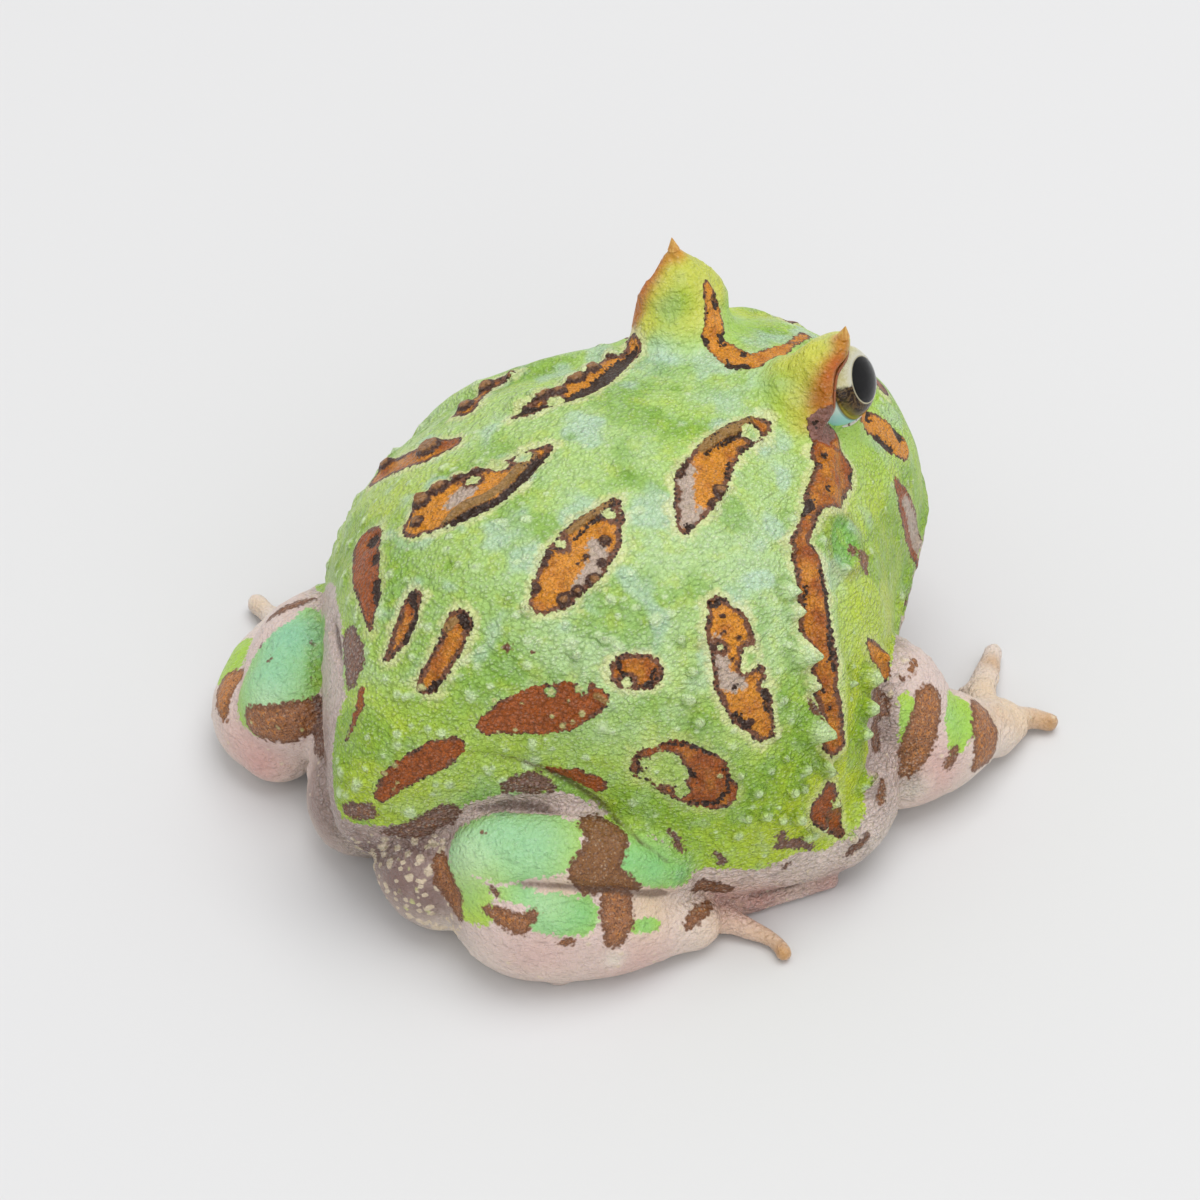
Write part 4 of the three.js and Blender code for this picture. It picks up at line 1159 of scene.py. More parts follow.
# %% Bare skin
lower = tinted(np.tile(FLESH, (COUNT, 1)), 0.6 * smooth_step(14 - Z, 0, 10), BELLY_CREAM)
rear = smooth_step(Y, 36, 43) * smooth_step(24 - Z, 0, 6) * smooth_step(14 - np.abs(X + 1), 0, 5)
SEAT = [(430, 900, 5), (400, 880, 5), (375, 850, 3.5), (415, 850, 3.5)]
seat = np.max([bell(seen(x, y), radius) for x, y, radius in SEAT], axis=0)
lower = tinted(lower, 0.85 * seat, PURPLE)
lower = tinted(lower, 0.4 * rear, PURPLE)
LOWER_TINTS = [
    (640, 960, 6, PINK, 0.6), (614, 960, 1.5, BELLY_CREAM, 1.0), (543, 975, 2, BELLY_CREAM, 0.9),
    (540, 960, 6, PINK, 0.5), (650, 905, 4, SAND, 0.9), (560, 895, 3, SAND, 0.7), (720, 918, 4, SAND, 0.9),
    (750, 928, 3, SAND, 0.9), (784, 954, 2.2, OCHRE, 0.95), (760, 900, 5, PINK, 0.9),
    (830, 884, 4, PINK, 0.8), (720, 895, 4, PINK, 0.8), (930, 780, 5, PINK, 0.9),
    (915, 790, 3, BELLY_CREAM, 0.9), (324, 740, 3.5, PURPLE, 0.5), (314, 800, 3.5, PURPLE, 0.55),
    (318, 770, 3.5, PURPLE, 0.5), (332, 852, 4, PURPLE, 0.4), (322, 825, 4, PURPLE, 0.45),
    (877, 700, 3.5, PURPLE, 0.5), (880, 735, 3.5, PURPLE, 0.5), (884, 772, 3, PURPLE, 0.15),
    (882, 800, 3, PURPLE, 0.3), (895, 640, 2.5, PURPLE, 0.3), (1002, 712, 2, OCHRE, 0.5),
    (1030, 720, 2, OCHRE, 0.6), (990, 660, 2, OCHRE, 0.4), (905, 778, 2.5, PURPLE, 0.3),
    (770, 938, 2, OCHRE, 0.4), (260, 765, 4, PINK, 0.9), (240, 745, 5, PINK, 0.5),
    (258, 605, 2.5, SAND, 0.7), (990, 690, 4, SAND, 0.95), (990, 715, 2, OCHRE, 0.5),
    (1015, 715, 4, SAND, 0.95), (985, 715, 4, SAND, 0.7), (1052, 724, 2.6, OCHRE, 0.85),
    (998, 665, 1.8, OCHRE, 0.5), (356, 866, 3, PINK, 0.9), (450, 930, 4, BELLY_CREAM, 0.7),
    (830, 885, 5, PURPLE, 0.25),
]
lower = hand_tinted(lower, LOWER_TINTS)
print("bare skin", lower.mean(0).round(3))

# %% [markdown]
# ## Relief
# The skin isn't smooth: pointed pale tubercles stand beside the stripe, round bumps along the
# flank, small ones over the hind back, and everything is wavy. All of it is a height field
# along the normal, a sum of little domes and cones, so that the skin stays one piece.
# %% Height of the skin
rng = np.random.default_rng(11)
CELL_PRIMES = np.array([73856093, 19349663, 83492791])
SEED_PRIME = 2654435761
MIX_PRIME = 1274126177
LEAN_TO = np.array([0.75, -0.5, -0.2])


def value_noise(points, size, seed):
    """Random heights on the corners of a grid of cubes, blended between them: a smooth field
    from -1 to 1 that changes over about one cube's size."""
    scaled = points / size
    base = np.floor(scaled).astype(np.int64)
    part = scaled - base
    part = part * part * (3 - 2 * part)
    total = np.zeros(len(points))
    for corner in np.ndindex(2, 2, 2):
        mixed = (base + corner) @ CELL_PRIMES + seed * SEED_PRIME
        mixed = (mixed ^ (mixed >> 13)) * MIX_PRIME & 0xFFFFFFFF
        height = (mixed & 0xFFFF) / 32767.5 - 1
        total += height * np.prod(np.where(corner, part, 1 - part), axis=1)
    return total


pale = np.zeros(COUNT)
foot = np.zeros(COUNT)
relief = np.zeros(COUNT)
lean = np.zeros((COUNT, 3))


def raise_bump(centre, radius, tall, pointed=0.0, shine=1.0):
    """Adds a bump of height (1 - r^2)^1.3, or (1 - r)^1.2 where it is pointed, inside its
    radius, and marks its top as pale. A pointed one also leans outwards and forwards. Only
    points in a slab round it are looked at."""
    slab = np.nonzero(np.abs(X - centre[0]) < radius)[0]
    gap = length(SKIN_POINTS[slab] - centre) / radius
    round_top = np.clip(1 - gap**2, 0, 1) ** 1.3
    sharp_top = np.clip(1 - gap, 0, 1) ** 1.2
    shape = tall * (round_top + pointed * (sharp_top - round_top))
    relief[slab] += shape * (1 - 0.35 * pointed)
    way = unit(mirrored(LEAN_TO, np.sign(centre[0])))
    lean[slab] += pointed * 0.9 * shape[:, None] * way
    pale[slab] = np.maximum(pale[slab], shine * np.clip(1 - gap, 0, 1))


normals = read_rows(skin.data.vertex_normals, "vector", 3).astype(float)
height = 0.3 * value_noise(SKIN_POINTS, 9, 1) * (1 - limb_share)
height += 0.14 * value_noise(SKIN_POINTS, 3.4, 2)
height += 0.07 * value_noise(SKIN_POINTS, 1.7, 3)
height += 0.12 * brow_near * value_noise(SKIN_POINTS * [0.5, 0.5, 1.5], 1.3, 5)

TUBERCLES = [
    (786, 590, 8, 1), (794, 611, 7, 1), (802, 652, 12, 1), (812, 683, 7, 0.8), (812, 729, 12, 0.9),
    (792, 548, 6, 0.8), (790, 520, 6, 0.8), (868, 678, 9, 0), (866, 708, 8, 0), (860, 733, 7, 0),
    (867, 781, 9, 0), (823, 762, 7, 0), (882, 658, 5, 0), (852, 838, 5, 0), (859, 787, 5, 0),
    (852, 683, 4, 0), (851, 667, 3.5, 0), (823, 761, 6, 0), (828, 772, 5, 0), (805, 768, 5, 0),
    (802, 787, 4, 0), (792, 791, 5, 0), (798, 817, 6, 0), (781, 818, 5, 0), (805, 836, 5, 0),
    (819, 824, 6, 0), (833, 802, 4.5, 0), (786, 758, 3.5, 0), (770, 770, 4, 0), (757, 792, 5, 0),
    (765, 815, 5, 0), (748, 818, 4, 0), (740, 775, 4, 0), (783, 700, 4, 0), (776, 735, 4, 0),
    (889, 695, 4, 0), (700, 640, 4, 0), (693, 672, 4, 0), (690, 700, 5, 0), (699, 722, 5, 0),
    (680, 640, 4, 0), (605, 640, 4, 0), (577, 655, 4, 0), (560, 680, 3, 0), (527, 610, 4, 0),
    (510, 600, 3, 0),
]
for x, y, size, pointed in TUBERCLES:
    place = seen(x, y)
    for centre in [] if place is None else both_sides(place):
        share = 1 if centre is place else 0.5
        raise_bump(centre, 0.2 * size, share * size * (0.27 - 0.03 * pointed), pointed)
        # painted shade: a ring round the foot of each tubercle, coloured darker green in the material
        gap = length(SKIN_POINTS - centre) / (0.2 * size)
        foot = np.maximum(foot, peak(gap, 1.0, 0.28))
print("tubercles:", len(TUBERCLES))

# %% Small bumps, spot rims and folds
BUMP_TRIES = 5200
BUMP_SMALLEST = 0.55
FRONT_CHANCE = 0.06
HIND_CHANCE = 0.34
BARE_CHANCE = 0.25
GREEN_INSET = 1.5
SPOT_GAP = 0.6
SEAT_GRID = 1.7
open_back = (green > GREEN_INSET) & (limb_share + brow_near < 0.3) & (spot > SPOT_GAP)
kept = 0
for index in rng.choice(COUNT, BUMP_TRIES, replace=False):
    centre = SKIN_POINTS[index]
    hind = smooth_step(centre[1], -8, 16)
    size = BUMP_SMALLEST + 0.6 * rng.random() ** 2
    chance = rng.random()
    if open_back[index]:
        if chance < FRONT_CHANCE + HIND_CHANCE * hind:
            raise_bump(centre, size * 1.3, 0.4 * size, shine=0.6 + 0.4 * rng.random())
            kept += 1
    elif green[index] < 0 and chance < BARE_CHANCE:
        raise_bump(centre, size, 0.22 * size, shine=0.6)
        kept += 1
seated = SKIN_POINTS[(seat > 0.3) & (green < 0)]
_, chosen = np.unique(np.floor(seated / SEAT_GRID), axis=0, return_index=True)
for centre in seated[chosen]:
    size = 0.35 + 0.4 * rng.random() ** 2
    raise_bump(centre, 1.5 * size, 0.5 * size)
print("small bumps:", kept, "seat warts:", len(chosen))
height += relief

DIMPLES = [(654, 413, 6), (629, 477, 6), (449, 566, 6), (571, 437, 4), (500, 640, 4), (676, 388, 4)]
dimple = stroke_field([[place] for place in DIMPLES])
height -= 0.3 * smooth_step(-dimple, -0.6, 0.8)

# a low rim round each spot, the folds and warts inside it, and the cream warts
height += 0.12 * peak(spot, -0.25, 0.45) * (1 - limb_share)
height += 0.55 * smooth_step(-fold_edge, -0.5, 0.45)
height -= 0.3 * smooth_step(-dark, -0.3, 0.3) * (1 - smooth_step(-fold_edge, -0.4, 0.2))
height += 0.9 * smooth_step(-wart, -0.3, 0.9)
height += 0.35 * smooth_step(-cream_wart, -0.3, 0.4)

# %% [markdown]
# Where a limb presses on the body the skin folds in, and the wide mouth runs round the snout
# between two rounded lips. These are valleys and ridges along paths.
# %% Creases, mouth, nostrils and eardrums
CREASES = [
    [
        (452, 750, -3), (490, 755, 1), (530, 765, 3), (568, 783, 4), (600, 804, 4), (618, 820, 3),
        (642, 840, 3), (668, 861, 3), (700, 875, -3),
    ],
    [(455, 815, -3), (480, 809, 3), (509, 805, 4), (545, 806, 4), (600, 820, -3)],
    [(495, 882, -3), (520, 885, 3), (560, 888, 4), (616, 892, 5), (660, 896, 5), (700, 900, -3)],
    [(330, 600, -3), (336, 640, 4), (345, 690, -3)],
    [(735, 898, -3), (752, 897, 2.4), (775, 894, 2.4), (800, 887, 2.4), (828, 877, -3)],
]
crease = stroke_field(CREASES)
height -= 0.75 * smooth_step(-crease, -0.9, 0.5)

MOUTH_ALONG = (-46.95, -21)
MOUTH_LEVEL = (24, 15)


def half_width_at(along, level):
    """The trunk's superellipse solved for x: width times (1 - share^n)^(1/n)."""
    u = ring_at(along)
    above = level - spline(LEVEL, u)
    wide, tall, square = ring_sizes(u, above)
    share = np.clip(np.abs(above) / tall, 0, 1)
    return wide * (1 - share**square) ** (1 / square)


t = np.linspace(-1, 1, 41)
mouth_along = MOUTH_ALONG[0] + (MOUTH_ALONG[1] - MOUTH_ALONG[0]) * t**2
mouth_level = MOUTH_LEVEL[0] + (MOUTH_LEVEL[1] - MOUTH_LEVEL[0]) * t**2
mouth_x = -np.sign(t) * half_width_at(mouth_along, mouth_level)
mouth_path = turn_head(np.stack([mouth_x, mouth_along, mouth_level], 1))
mouth_path = np.array([nearest(place) for place in mouth_path])
mouth = ribbon_distance(SKIN_POINTS, mouth_path, np.zeros(len(mouth_path)))
height += 0.75 * peak(mouth, 1.7, 1.0) - 0.8 * peak(mouth, 0, 0.6)

NOSTRIL_PLACE = (-43.2, 72)
nostrils = [nearest(on_trunk(*NOSTRIL_PLACE, side)[0]) for side in SIDES.values()]
nostril = np.min([length(SKIN_POINTS - place) for place in nostrils], axis=0)
height += 0.8 * smooth_step(2.4 - nostril, 0, 1.6) - 1.3 * smooth_step(1.0 - nostril, 0, 0.8)
height += 0.3 * peak(eardrum, 3.7, 0.6) - 0.2 * smooth_step(3.2 - eardrum, 0, 1)
print("mouth", mouth_path[0].round(1), "to", mouth_path[-1].round(1))

# %% Move the skin
height *= smooth_step(Z, 0.2, 2.5)
points = SKIN_POINTS + normals * height[:, None] + lean
points[:, 2] = np.maximum(points[:, 2], 0)
write_points(skin, points)
print("height from", height.min().round(2), "to", height.max().round(2))

# %% Store the fields


def store(made, name, values):
    """Keeps one number, or one colour, at each point of the mesh."""
    kind = "FLOAT" if values.ndim == 1 else "FLOAT_COLOR"
    key = "value" if values.ndim == 1 else "color"
    if values.ndim == 2:
        values = np.concatenate([values, np.ones((len(values), 1))], 1)
    field = made.data.attributes.new(name, kind, "POINT")
    field.data.foreach_set(key, values.astype(np.float32).ravel())


def cover(made, finish):
    """Smooth shading, and one finish all over."""
    made.data.polygons.foreach_set("use_smooth", [True] * len(made.data.polygons))
    made.data.materials.append(finish)


FIELDS = {
    "spot": spot, "warmth": warmth, "margin": margin_width, "band": band,
    "band_warmth": band_warmth, "green": green, "grey": grey, "fold": fold_edge, "dark": dark,
    "wart": wart, "cream_wart": cream_wart, "crease": crease, "mouth": mouth,
    "nostril": nostril, "pale": pale, "dimple": dimple, "foot": foot,
    "limb": np.maximum(limb_share, 0.9 * brow_near), "upper": upper, "lower": lower,
}
for name, values in FIELDS.items():
    store(skin, name, values)
print("fields stored:", len(FIELDS))

# %% [markdown]
# ## Building materials
# A material is a graph of nodes. Here a wire is one value in the graph, and sums of wires put the
# nodes for that arithmetic in, so that a mask or a tint reads as it would on paper. The helpers
# add to the graph that is called tree, which is that of the material last begun.
# %% Wires and nodes


class Wire:
    """A node's output that can be added, subtracted and multiplied."""

    def __init__(self, socket):
        self.socket = socket

    def __add__(self, other):
        return calc("ADD", self, other)

    def __sub__(self, other):
        return calc("SUBTRACT", self, other)

    def __rsub__(self, other):
        return calc("SUBTRACT", other, self)

    def __mul__(self, other):
        return calc("MULTIPLY", self, other)


def new_material(name):
    """A material with an empty graph."""
    material = bpy.data.materials.new(name)
    material.use_nodes = True
    material.node_tree.nodes.clear()
    return material


def put(kind, inputs=None, output=0, **settings):
    """Puts in a node of a kind and gives one of its outputs; each input gets a number, a colour
    or a wire."""
    made = tree.nodes.new("ShaderNode" + kind)
    for key, value in settings.items():
        setattr(made, key, value)
    for key, value in (inputs or {}).items():
        if isinstance(value, Wire):
            tree.links.new(value.socket, made.inputs[key])
        else:
            made.inputs[key].default_value = value
    return Wire(made.outputs[output]) if made.outputs else None


def calc(operation, first, second=0.0):
    """One step of arithmetic on values."""
    return put("Math", {0: first, 1: second}, operation=operation)


def rgba(colour):
    """A wire as it is, and a colour with full opacity."""
    return colour if isinstance(colour, Wire) else (*[float(c) for c in colour], 1.0)


def blend(share, first, second, kind="MIX"):
    """Two colours blended by a share."""
    inputs = {0: share, 6: rgba(first), 7: rgba(second)}
    return put("Mix", inputs, 2, data_type="RGBA", blend_type=kind)


def layered(colour, layers):
    """Colours laid over a first one in turn, each by its share."""
    for share, other in layers:
        colour = blend(share, colour, other)
    return colour


def mask(value, low, high):
    """0 to 1 as the value goes from low to high, with soft ends."""
    inputs = {"Value": value, "From Min": low, "From Max": high}
    return put("MapRange", inputs, interpolation_type="SMOOTHSTEP")


def field(name):
    """A number stored on the mesh."""
    return put("Attribute", None, "Fac", attribute_name=name)


def tone(name):
    """A colour stored on the mesh."""
    return put("Attribute", None, "Color", attribute_name=name)


def millimetres(stretch=(1, 1, 1)):
    """Object coordinates in millimetres."""
    coordinates = put("TexCoord", None, "Object")
    return put("Mapping", {"Vector": coordinates, "Scale": [1000 * s for s in stretch]})


def noise(place, scale, detail=2.0, output="Fac"):
    """Cloudy noise, about 0.5 on average."""
    return put("TexNoise", {"Vector": place, "Scale": scale, "Detail": detail}, output)


def cells(place, scale, feature="F1"):
    """Distance from the middle, or the edge, of the nearest of many scattered cells."""
    return put("TexVoronoi", {"Vector": place, "Scale": scale}, "Distance", feature=feature)


def warped(place, scale, strength):
    """A place shifted a little by cloudy noise, so that a pattern doesn't look ruled."""
    shift = noise(place, scale, output="Color")
    scaled = put("VectorMath", {0: shift, 1: [strength] * 3}, operation="MULTIPLY")
    return put("VectorMath", {0: place, 1: scaled}, operation="ADD")


def surfaced(inputs, height, strength, distance):
    """The Principled shader with a bump over the surface, joined to the material's output."""
    bump = put("Bump", {"Height": height, "Strength": strength, "Distance": distance})
    shader = put("BsdfPrincipled", {**inputs, "Normal": bump})
    put("OutputMaterial", {"Surface": shader})


print("node helpers ready")

# %% [markdown]
# ## Skin
# Living frog skin is a thin moist film over coloured granules. The material works from large
# to small: green or bare skin, the pale halo, the orange and brown of the spots with their
# dark scaly edges, and then the granules with a painted highlight on top and painted shade
# between, with their bump.
# %% Patterns on the skin
skin_finish = new_material("frog_skin")
tree = skin_finish.node_tree
place = millimetres()
cloud = noise(place, 0.1)
drift = noise(place, 0.17, 1.0)
patch = noise(place, 0.4, 3.0)
grain = noise(place, 1.6, 3.0)
fine = noise(place, 4.5)
bead = cells(place, 1.7)
folded = millimetres((1.0, 0.85, 1.25))
wrinkle = noise(folded, 0.7, 3.0)
granule = cells(warped(folded, 0.8, 0.5), 1.8)
crack = cells(warped(folded, 0.5, 1.4), 0.75, "DISTANCE_TO_EDGE")
level = put("SeparateXYZ", {"Vector": place}, "Z")
body_share = field("limb") * -0.85 + 1.0
crack_depth = mask(crack, 0.1, 0.0) * mask(level, 40.0, 26.0) * body_share

# fine teeth on the edges of the markings
jag = bead * 0.5 + grain * 0.7 - 0.55
spot_edge = field("spot") + jag
band_edge = jag * 1.6 + field("band")
uneven = patch - 0.5
print("patterns:", len(tree.nodes), "nodes")

# %% Green and bare skin
FOOT_SHADE_GREEN = linear(108, 156, 36)
BUMP_GREEN = linear(212, 234, 182)
BUMP_CREAM = linear(226, 208, 180)
halo = mask(uneven * 3.0 + spot_edge, 1.4, 0.2) * mask(field("margin"), 0.1, 1.0)
upper_tone = layered(
    tone("upper"),
    [
        (mask(cloud, 0.47, 0.62) * 0.6 * body_share, DEEP_GREEN),
        (mask(patch, 0.5, 0.75) * 0.28 * body_share, PALE_MINT),
        (mask(patch, 0.5, 0.3) * 0.3 * body_share, YELLOW_GREEN),
        (mask(drift, 0.54, 0.66) * mask(level, 28.0, 44.0) * 0.55 * body_share, PALE_BLUE),
        # painted shade round the foot of each tubercle
        (field("foot") * 0.5, FOOT_SHADE_GREEN),
        (mask(field("pale"), 0.2, 0.6) * 0.75, BUMP_GREEN),
        # painted shade: darker green in the dimples, over their real dent
        (mask(field("dimple"), 0.5, -0.5) * 0.6, DEEP_GREEN),
        (halo * 0.68, CREAM),
    ],
)
lower_tone = layered(
    tone("lower"),
    [
        (mask(patch, 0.52, 0.68) * 0.3 * body_share, PURPLE),
        (mask(field("pale"), 0.3, 0.55) * 0.8, BUMP_CREAM),
    ],
)
skin_tone = blend(mask(jag * 1.8 + field("green"), -0.2, 0.2), lower_tone, upper_tone)
print("with green and bare skin:", len(tree.nodes), "nodes")

# %% Inside a spot: orange or red brown, a grey part, then folds, painted shadows under them and dark marks, and warts
GREY_BEIGE = linear(198, 176, 160)
RED_BROWN = linear(172, 84, 4)
SPOT_ORANGE = linear(230, 148, 28)
SPOT_GOLD = linear(230, 160, 70)
COLD_BROWN = linear(150, 106, 96)
SPECK_BROWN = linear(108, 58, 28)
DULL_BROWN = linear(82, 44, 26)
FOLD_TAN = linear(158, 118, 62)
EDGE_AND_SHADOW_BROWN = linear(54, 30, 16)
MARGIN_BROWN = linear(120, 74, 48)
WART_BROWN = linear(74, 42, 28)
WART_TAN = linear(160, 112, 66)
orange_share = mask(uneven * 0.9 + field("warmth"), 0.35, 0.8)
margin_depth = uneven * 1.6 + spot_edge + (field("margin") * 0.7 - 0.7)
beads = mask(bead, 0.45, 0.3) * mask(margin_depth, -0.85, -0.55)
fold_share = mask(jag * 0.4 + field("fold"), 0.12, -0.12)
# painted shadow under the folds, together with dark marks of the spots
dark_and_shadow_share = mask(jag * 1.4 + field("dark"), 0.12, -0.12) * (1.0 - fold_share)
wart_edge = jag * 0.7 + field("wart")
spot_tone = layered(
    blend(orange_share, RED_BROWN, SPOT_ORANGE),
    [
        (mask(field("warmth"), 0.0, -0.3), COLD_BROWN),
        (mask(grain, 0.42, 0.7) * 0.4 * orange_share, SPOT_GOLD),
        (mask(fine, 0.5, 0.66) * 0.5, SPECK_BROWN),
        (mask(grain, 0.4, 0.62) * 0.32 * (1.0 - orange_share), DULL_BROWN),
        (mask(jag * 1.6 + field("grey"), 0.25, -0.25), GREY_BEIGE),
        (mask(margin_depth, -0.95, -0.5), MARGIN_BROWN),
        (fold_share, FOLD_TAN),
        # dark beads of the margin, and the painted shadow under the folds
        (calc("MAXIMUM", beads, dark_and_shadow_share), EDGE_AND_SHADOW_BROWN),
        (mask(wart_edge, 0.15, -0.1), blend(mask(wart_edge, -0.3, -0.75), WART_BROWN, WART_TAN)),
    ],
)
print("with the spots:", len(tree.nodes), "nodes")

# %% Speckled bands on the limbs
BAND_GREY = linear(140, 108, 98)
BAND_BROWN = linear(158, 104, 66)
BAND_TAN = linear(196, 126, 58)
BAND_GOLD = linear(134, 88, 42)
BAND_FLECK = linear(206, 176, 140)
BAND_DARK = linear(104, 66, 44)
BAND_RIM = linear(92, 54, 32)
band_warm = field("band_warmth") + (grain - 0.5)
band_tone = layered(
    BAND_GREY,
    [
        (mask(band_warm, 0.0, 0.2), BAND_BROWN),
        (mask(band_warm, 0.3, 0.6), BAND_TAN),
        (mask(band_warm, 0.9, 1.2), BAND_GOLD),
        (mask(bead, 0.3, 0.12) * 0.45, BAND_FLECK),
        (mask(fine, 0.45, 0.7), BAND_DARK),
        (mask(band_edge, -1.1, -0.3) * 0.6, BAND_RIM),
    ],
)
print("with the bands:", len(tree.nodes), "nodes")

# %% All the marks, and painted shade in the creases, along the mouth and in the nostrils
WART_CREAM = linear(206, 206, 140)
RECESS_SHADE_BROWN = linear(84, 54, 38)
spot_share = mask(spot_edge, 0.1, -0.1)
# painted shade: dark brown laid in the creases, along the mouth's groove and in the nostrils
recess_shade = calc("MAXIMUM", mask(field("crease"), 0.1, -0.4) * 0.95, mask(field("mouth"), 0.4, 0.15))
recess_shade = calc("MAXIMUM", recess_shade, mask(field("nostril"), 0.8, 0.5))
marked = layered(
    skin_tone,
    [
        (mask(band_edge, 0.2, -0.3), band_tone),
        (spot_share, spot_tone),
        (mask(jag * 0.4 + field("cream_wart"), 0.15, -0.15) * 0.85, WART_CREAM),
        # painted shade of the creases, mouth and nostrils
        (recess_shade * 0.75, RECESS_SHADE_BROWN),
    ],
)
print("with all the marks:", len(tree.nodes), "nodes")

# %% Granules: a painted highlight on top, painted shade between them and in fine cracks, and their bump
GRANULE_HIGHLIGHT = (1.0, 1.0, 0.9)
GAP_SHADE = (0.66, 0.72, 0.45)
CRACK_SHADE = (0.3, 0.42, 0.18)
granule_share = body_share * 0.8 + 0.2
# painted highlight: each granule's middle is screened paler, less on the spots; painted shade: the gaps and
# the fine cracks are multiplied darker
top = mask(granule, 0.45, 0.1) * 0.2 * granule_share * (spot_share * -0.7 + 1.0)
gap = mask(granule, 0.45, 0.8) * 0.27 * granule_share
detailed = blend(gap, blend(top, marked, GRANULE_HIGHLIGHT, "SCREEN"), GAP_SHADE, "MULTIPLY")
detailed = blend(crack_depth * 0.12, detailed, CRACK_SHADE, "MULTIPLY")
height = (1.0 - granule) * granule_share + wrinkle * 1.6 + grain * 0.5 + fine * 0.2
height = height + crack_depth * -0.25 + spot_share * (bead * -0.6 + 0.4)
moist_skin = {
    "Base Color": detailed,
    "Roughness": grain * 0.2 + 0.28,
    "Subsurface Weight": 0.1,
    "Subsurface Radius": (1.0, 0.7, 0.35),
    "Subsurface Scale": 0.0008,
    "Specular IOR Level": 0.4,
    "Coat Weight": 0.12,
    "Coat Roughness": 0.16,
}
surfaced(moist_skin, height, 1.0, 0.00055)
cover(skin, skin_finish)
print("skin material:", len(tree.nodes), "nodes")

FLESH_NODES = ["head", "torso"]
for name in SIDES:
    for part in ("eyelid", "upper_arm", "forearm", "hand", "thigh", "shank", "foot"):
        FLESH_NODES.append(f"{part}_{name}")
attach(skin, "root")
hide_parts(*FLESH_NODES)
print("the skin stands for", len(FLESH_NODES), "solids")

# %% [markdown]
# ## Eyes
# Nearly all of a frog's eye that shows is iris, so the eyeball is a ball whose front is cut to
# an iris ring with the pupil sunk in it. A clear cornea domes over both, and its back lies
# inside the eyeball: light passes one polished surface, as on the living eye.
# %% Eyeball shapes
GLOBE_RADIUS = EYE_RADIUS - 0.1
IRIS_DEPTH = 4.12
IRIS_RISE = 0.25
PUPIL_RADIUS = 2.85
PUPIL_SINK = 0.35
LIMBUS = 4.93
CORNEA_DEGREES = 66
CORNEA_SINK = 0.16
CORNEA_BACK = 4.4


def revolved(profile, middle, axis, sides=72):
    """A profile of (place along the axis, distance from it) turned about the axis."""
    first = unit(np.cross(axis, [0, 0, 1]))
    ring = circle(first, np.cross(first, axis), sides)
    return loft(middle + axis * profile[:, :1, None] + ring * profile[:, 1:, None])


def globe_profile():
    """From the back pole round to the iris plane, in to the pupil's edge and down to its middle."""
    edge = np.arccos((IRIS_DEPTH - IRIS_RISE) / GLOBE_RADIUS)
    polar = np.linspace(np.pi, edge, 60)
    ball = np.stack([np.cos(polar), np.sin(polar)], 1) * GLOBE_RADIUS
    share = np.linspace(0.05, 1, 16)
    out = ball[-1, 1] + (PUPIL_RADIUS - ball[-1, 1]) * share
    iris = np.stack([ball[-1, 0] + IRIS_RISE * np.sin(share * np.pi / 2), out], 1)
    sunk = np.linspace(PUPIL_RADIUS - 0.05, 0, 8)
    pupil = np.stack([np.full(8, IRIS_DEPTH - PUPIL_SINK), sunk], 1)
    return np.concatenate([ball, iris, pupil])


def cornea_profile():
    """The outer sphere from the front to its rim, where it eases down onto the eyeball, closed
    by a disc inside the eyeball."""
    polar = np.radians(np.linspace(0, CORNEA_DEGREES, 34))
    ease = smooth_step(np.degrees(polar), CORNEA_DEGREES - 12, CORNEA_DEGREES)
    radius = EYE_RADIUS - CORNEA_SINK * ease
    front = np.stack([np.cos(polar), np.sin(polar)], 1) * radius[:, None]
    back = np.stack([np.full(7, front[-1, 0] - 0.3), np.linspace(CORNEA_BACK, 0, 7)], 1)
    return np.concatenate([front, back])


eyes, corneas = [], []
for name, side in SIDES.items():
    gaze = head_way(GAZE, side)
    globe = mesh_object(f"eyeball_{name}", *revolved(globe_profile(), eye_middle(side), gaze))
    eyes.append(globe)
    clear = mesh_object(f"cornea_{name}", *revolved(cornea_profile(), eye_middle(side), gaze))
    corneas.append(clear)
    local = read_points(globe) - eye_middle(side)
    along = local @ gaze
    flat = local - along[:, None] * gaze
    out = length(flat)
    upright = unit(np.array([0, 0, 1]) - gaze[2] * gaze)
    store(globe, "out", out)
    store(globe, "high", flat @ upright / np.maximum(out, 1e-6))
    store(globe, "along", along)
print("eyeballs:", [len(e.data.vertices) for e in eyes], "iris from", PUPIL_RADIUS, "to", LIMBUS)

# %% [markdown]
# The iris is cream in its upper part and dark brown below, turning olive towards its lower rim.
# A fine pale line rings the black pupil, a dark one the iris, and past that the white of the
# eye is turquoise.
# %% Eyeball material
eye_finish = new_material("eye")
tree = eye_finish.node_tree
place = millimetres()
out = field("out")
along = field("along")
streak = noise(place, 2.6, 5.0)
high = (noise(place, 1.0) - 0.5) * 0.45 + field("high")
cream = blend(mask(streak, 0.35, 0.7), linear(226, 220, 160), linear(250, 246, 214))
cream = blend(mask(out, 4.3, 3.0), cream, linear(252, 250, 232))
brown = blend(mask(streak, 0.45, 0.6), linear(46, 28, 14), linear(120, 92, 50))
olive_share = mask(out, 3.9, 4.8) * mask(high, 0.2, -0.4)
white = blend(mask(high, 0.5, -0.6), linear(236, 238, 220), linear(160, 216, 210))
behind = calc("MAXIMUM", mask(out, LIMBUS - 0.05, LIMBUS + 0.05), mask(along, 2.1, 1.9))
line = mask(calc("ABSOLUTE", out - LIMBUS), 0.12, 0.04) * 0.45 * mask(along, 1.0, 1.6)
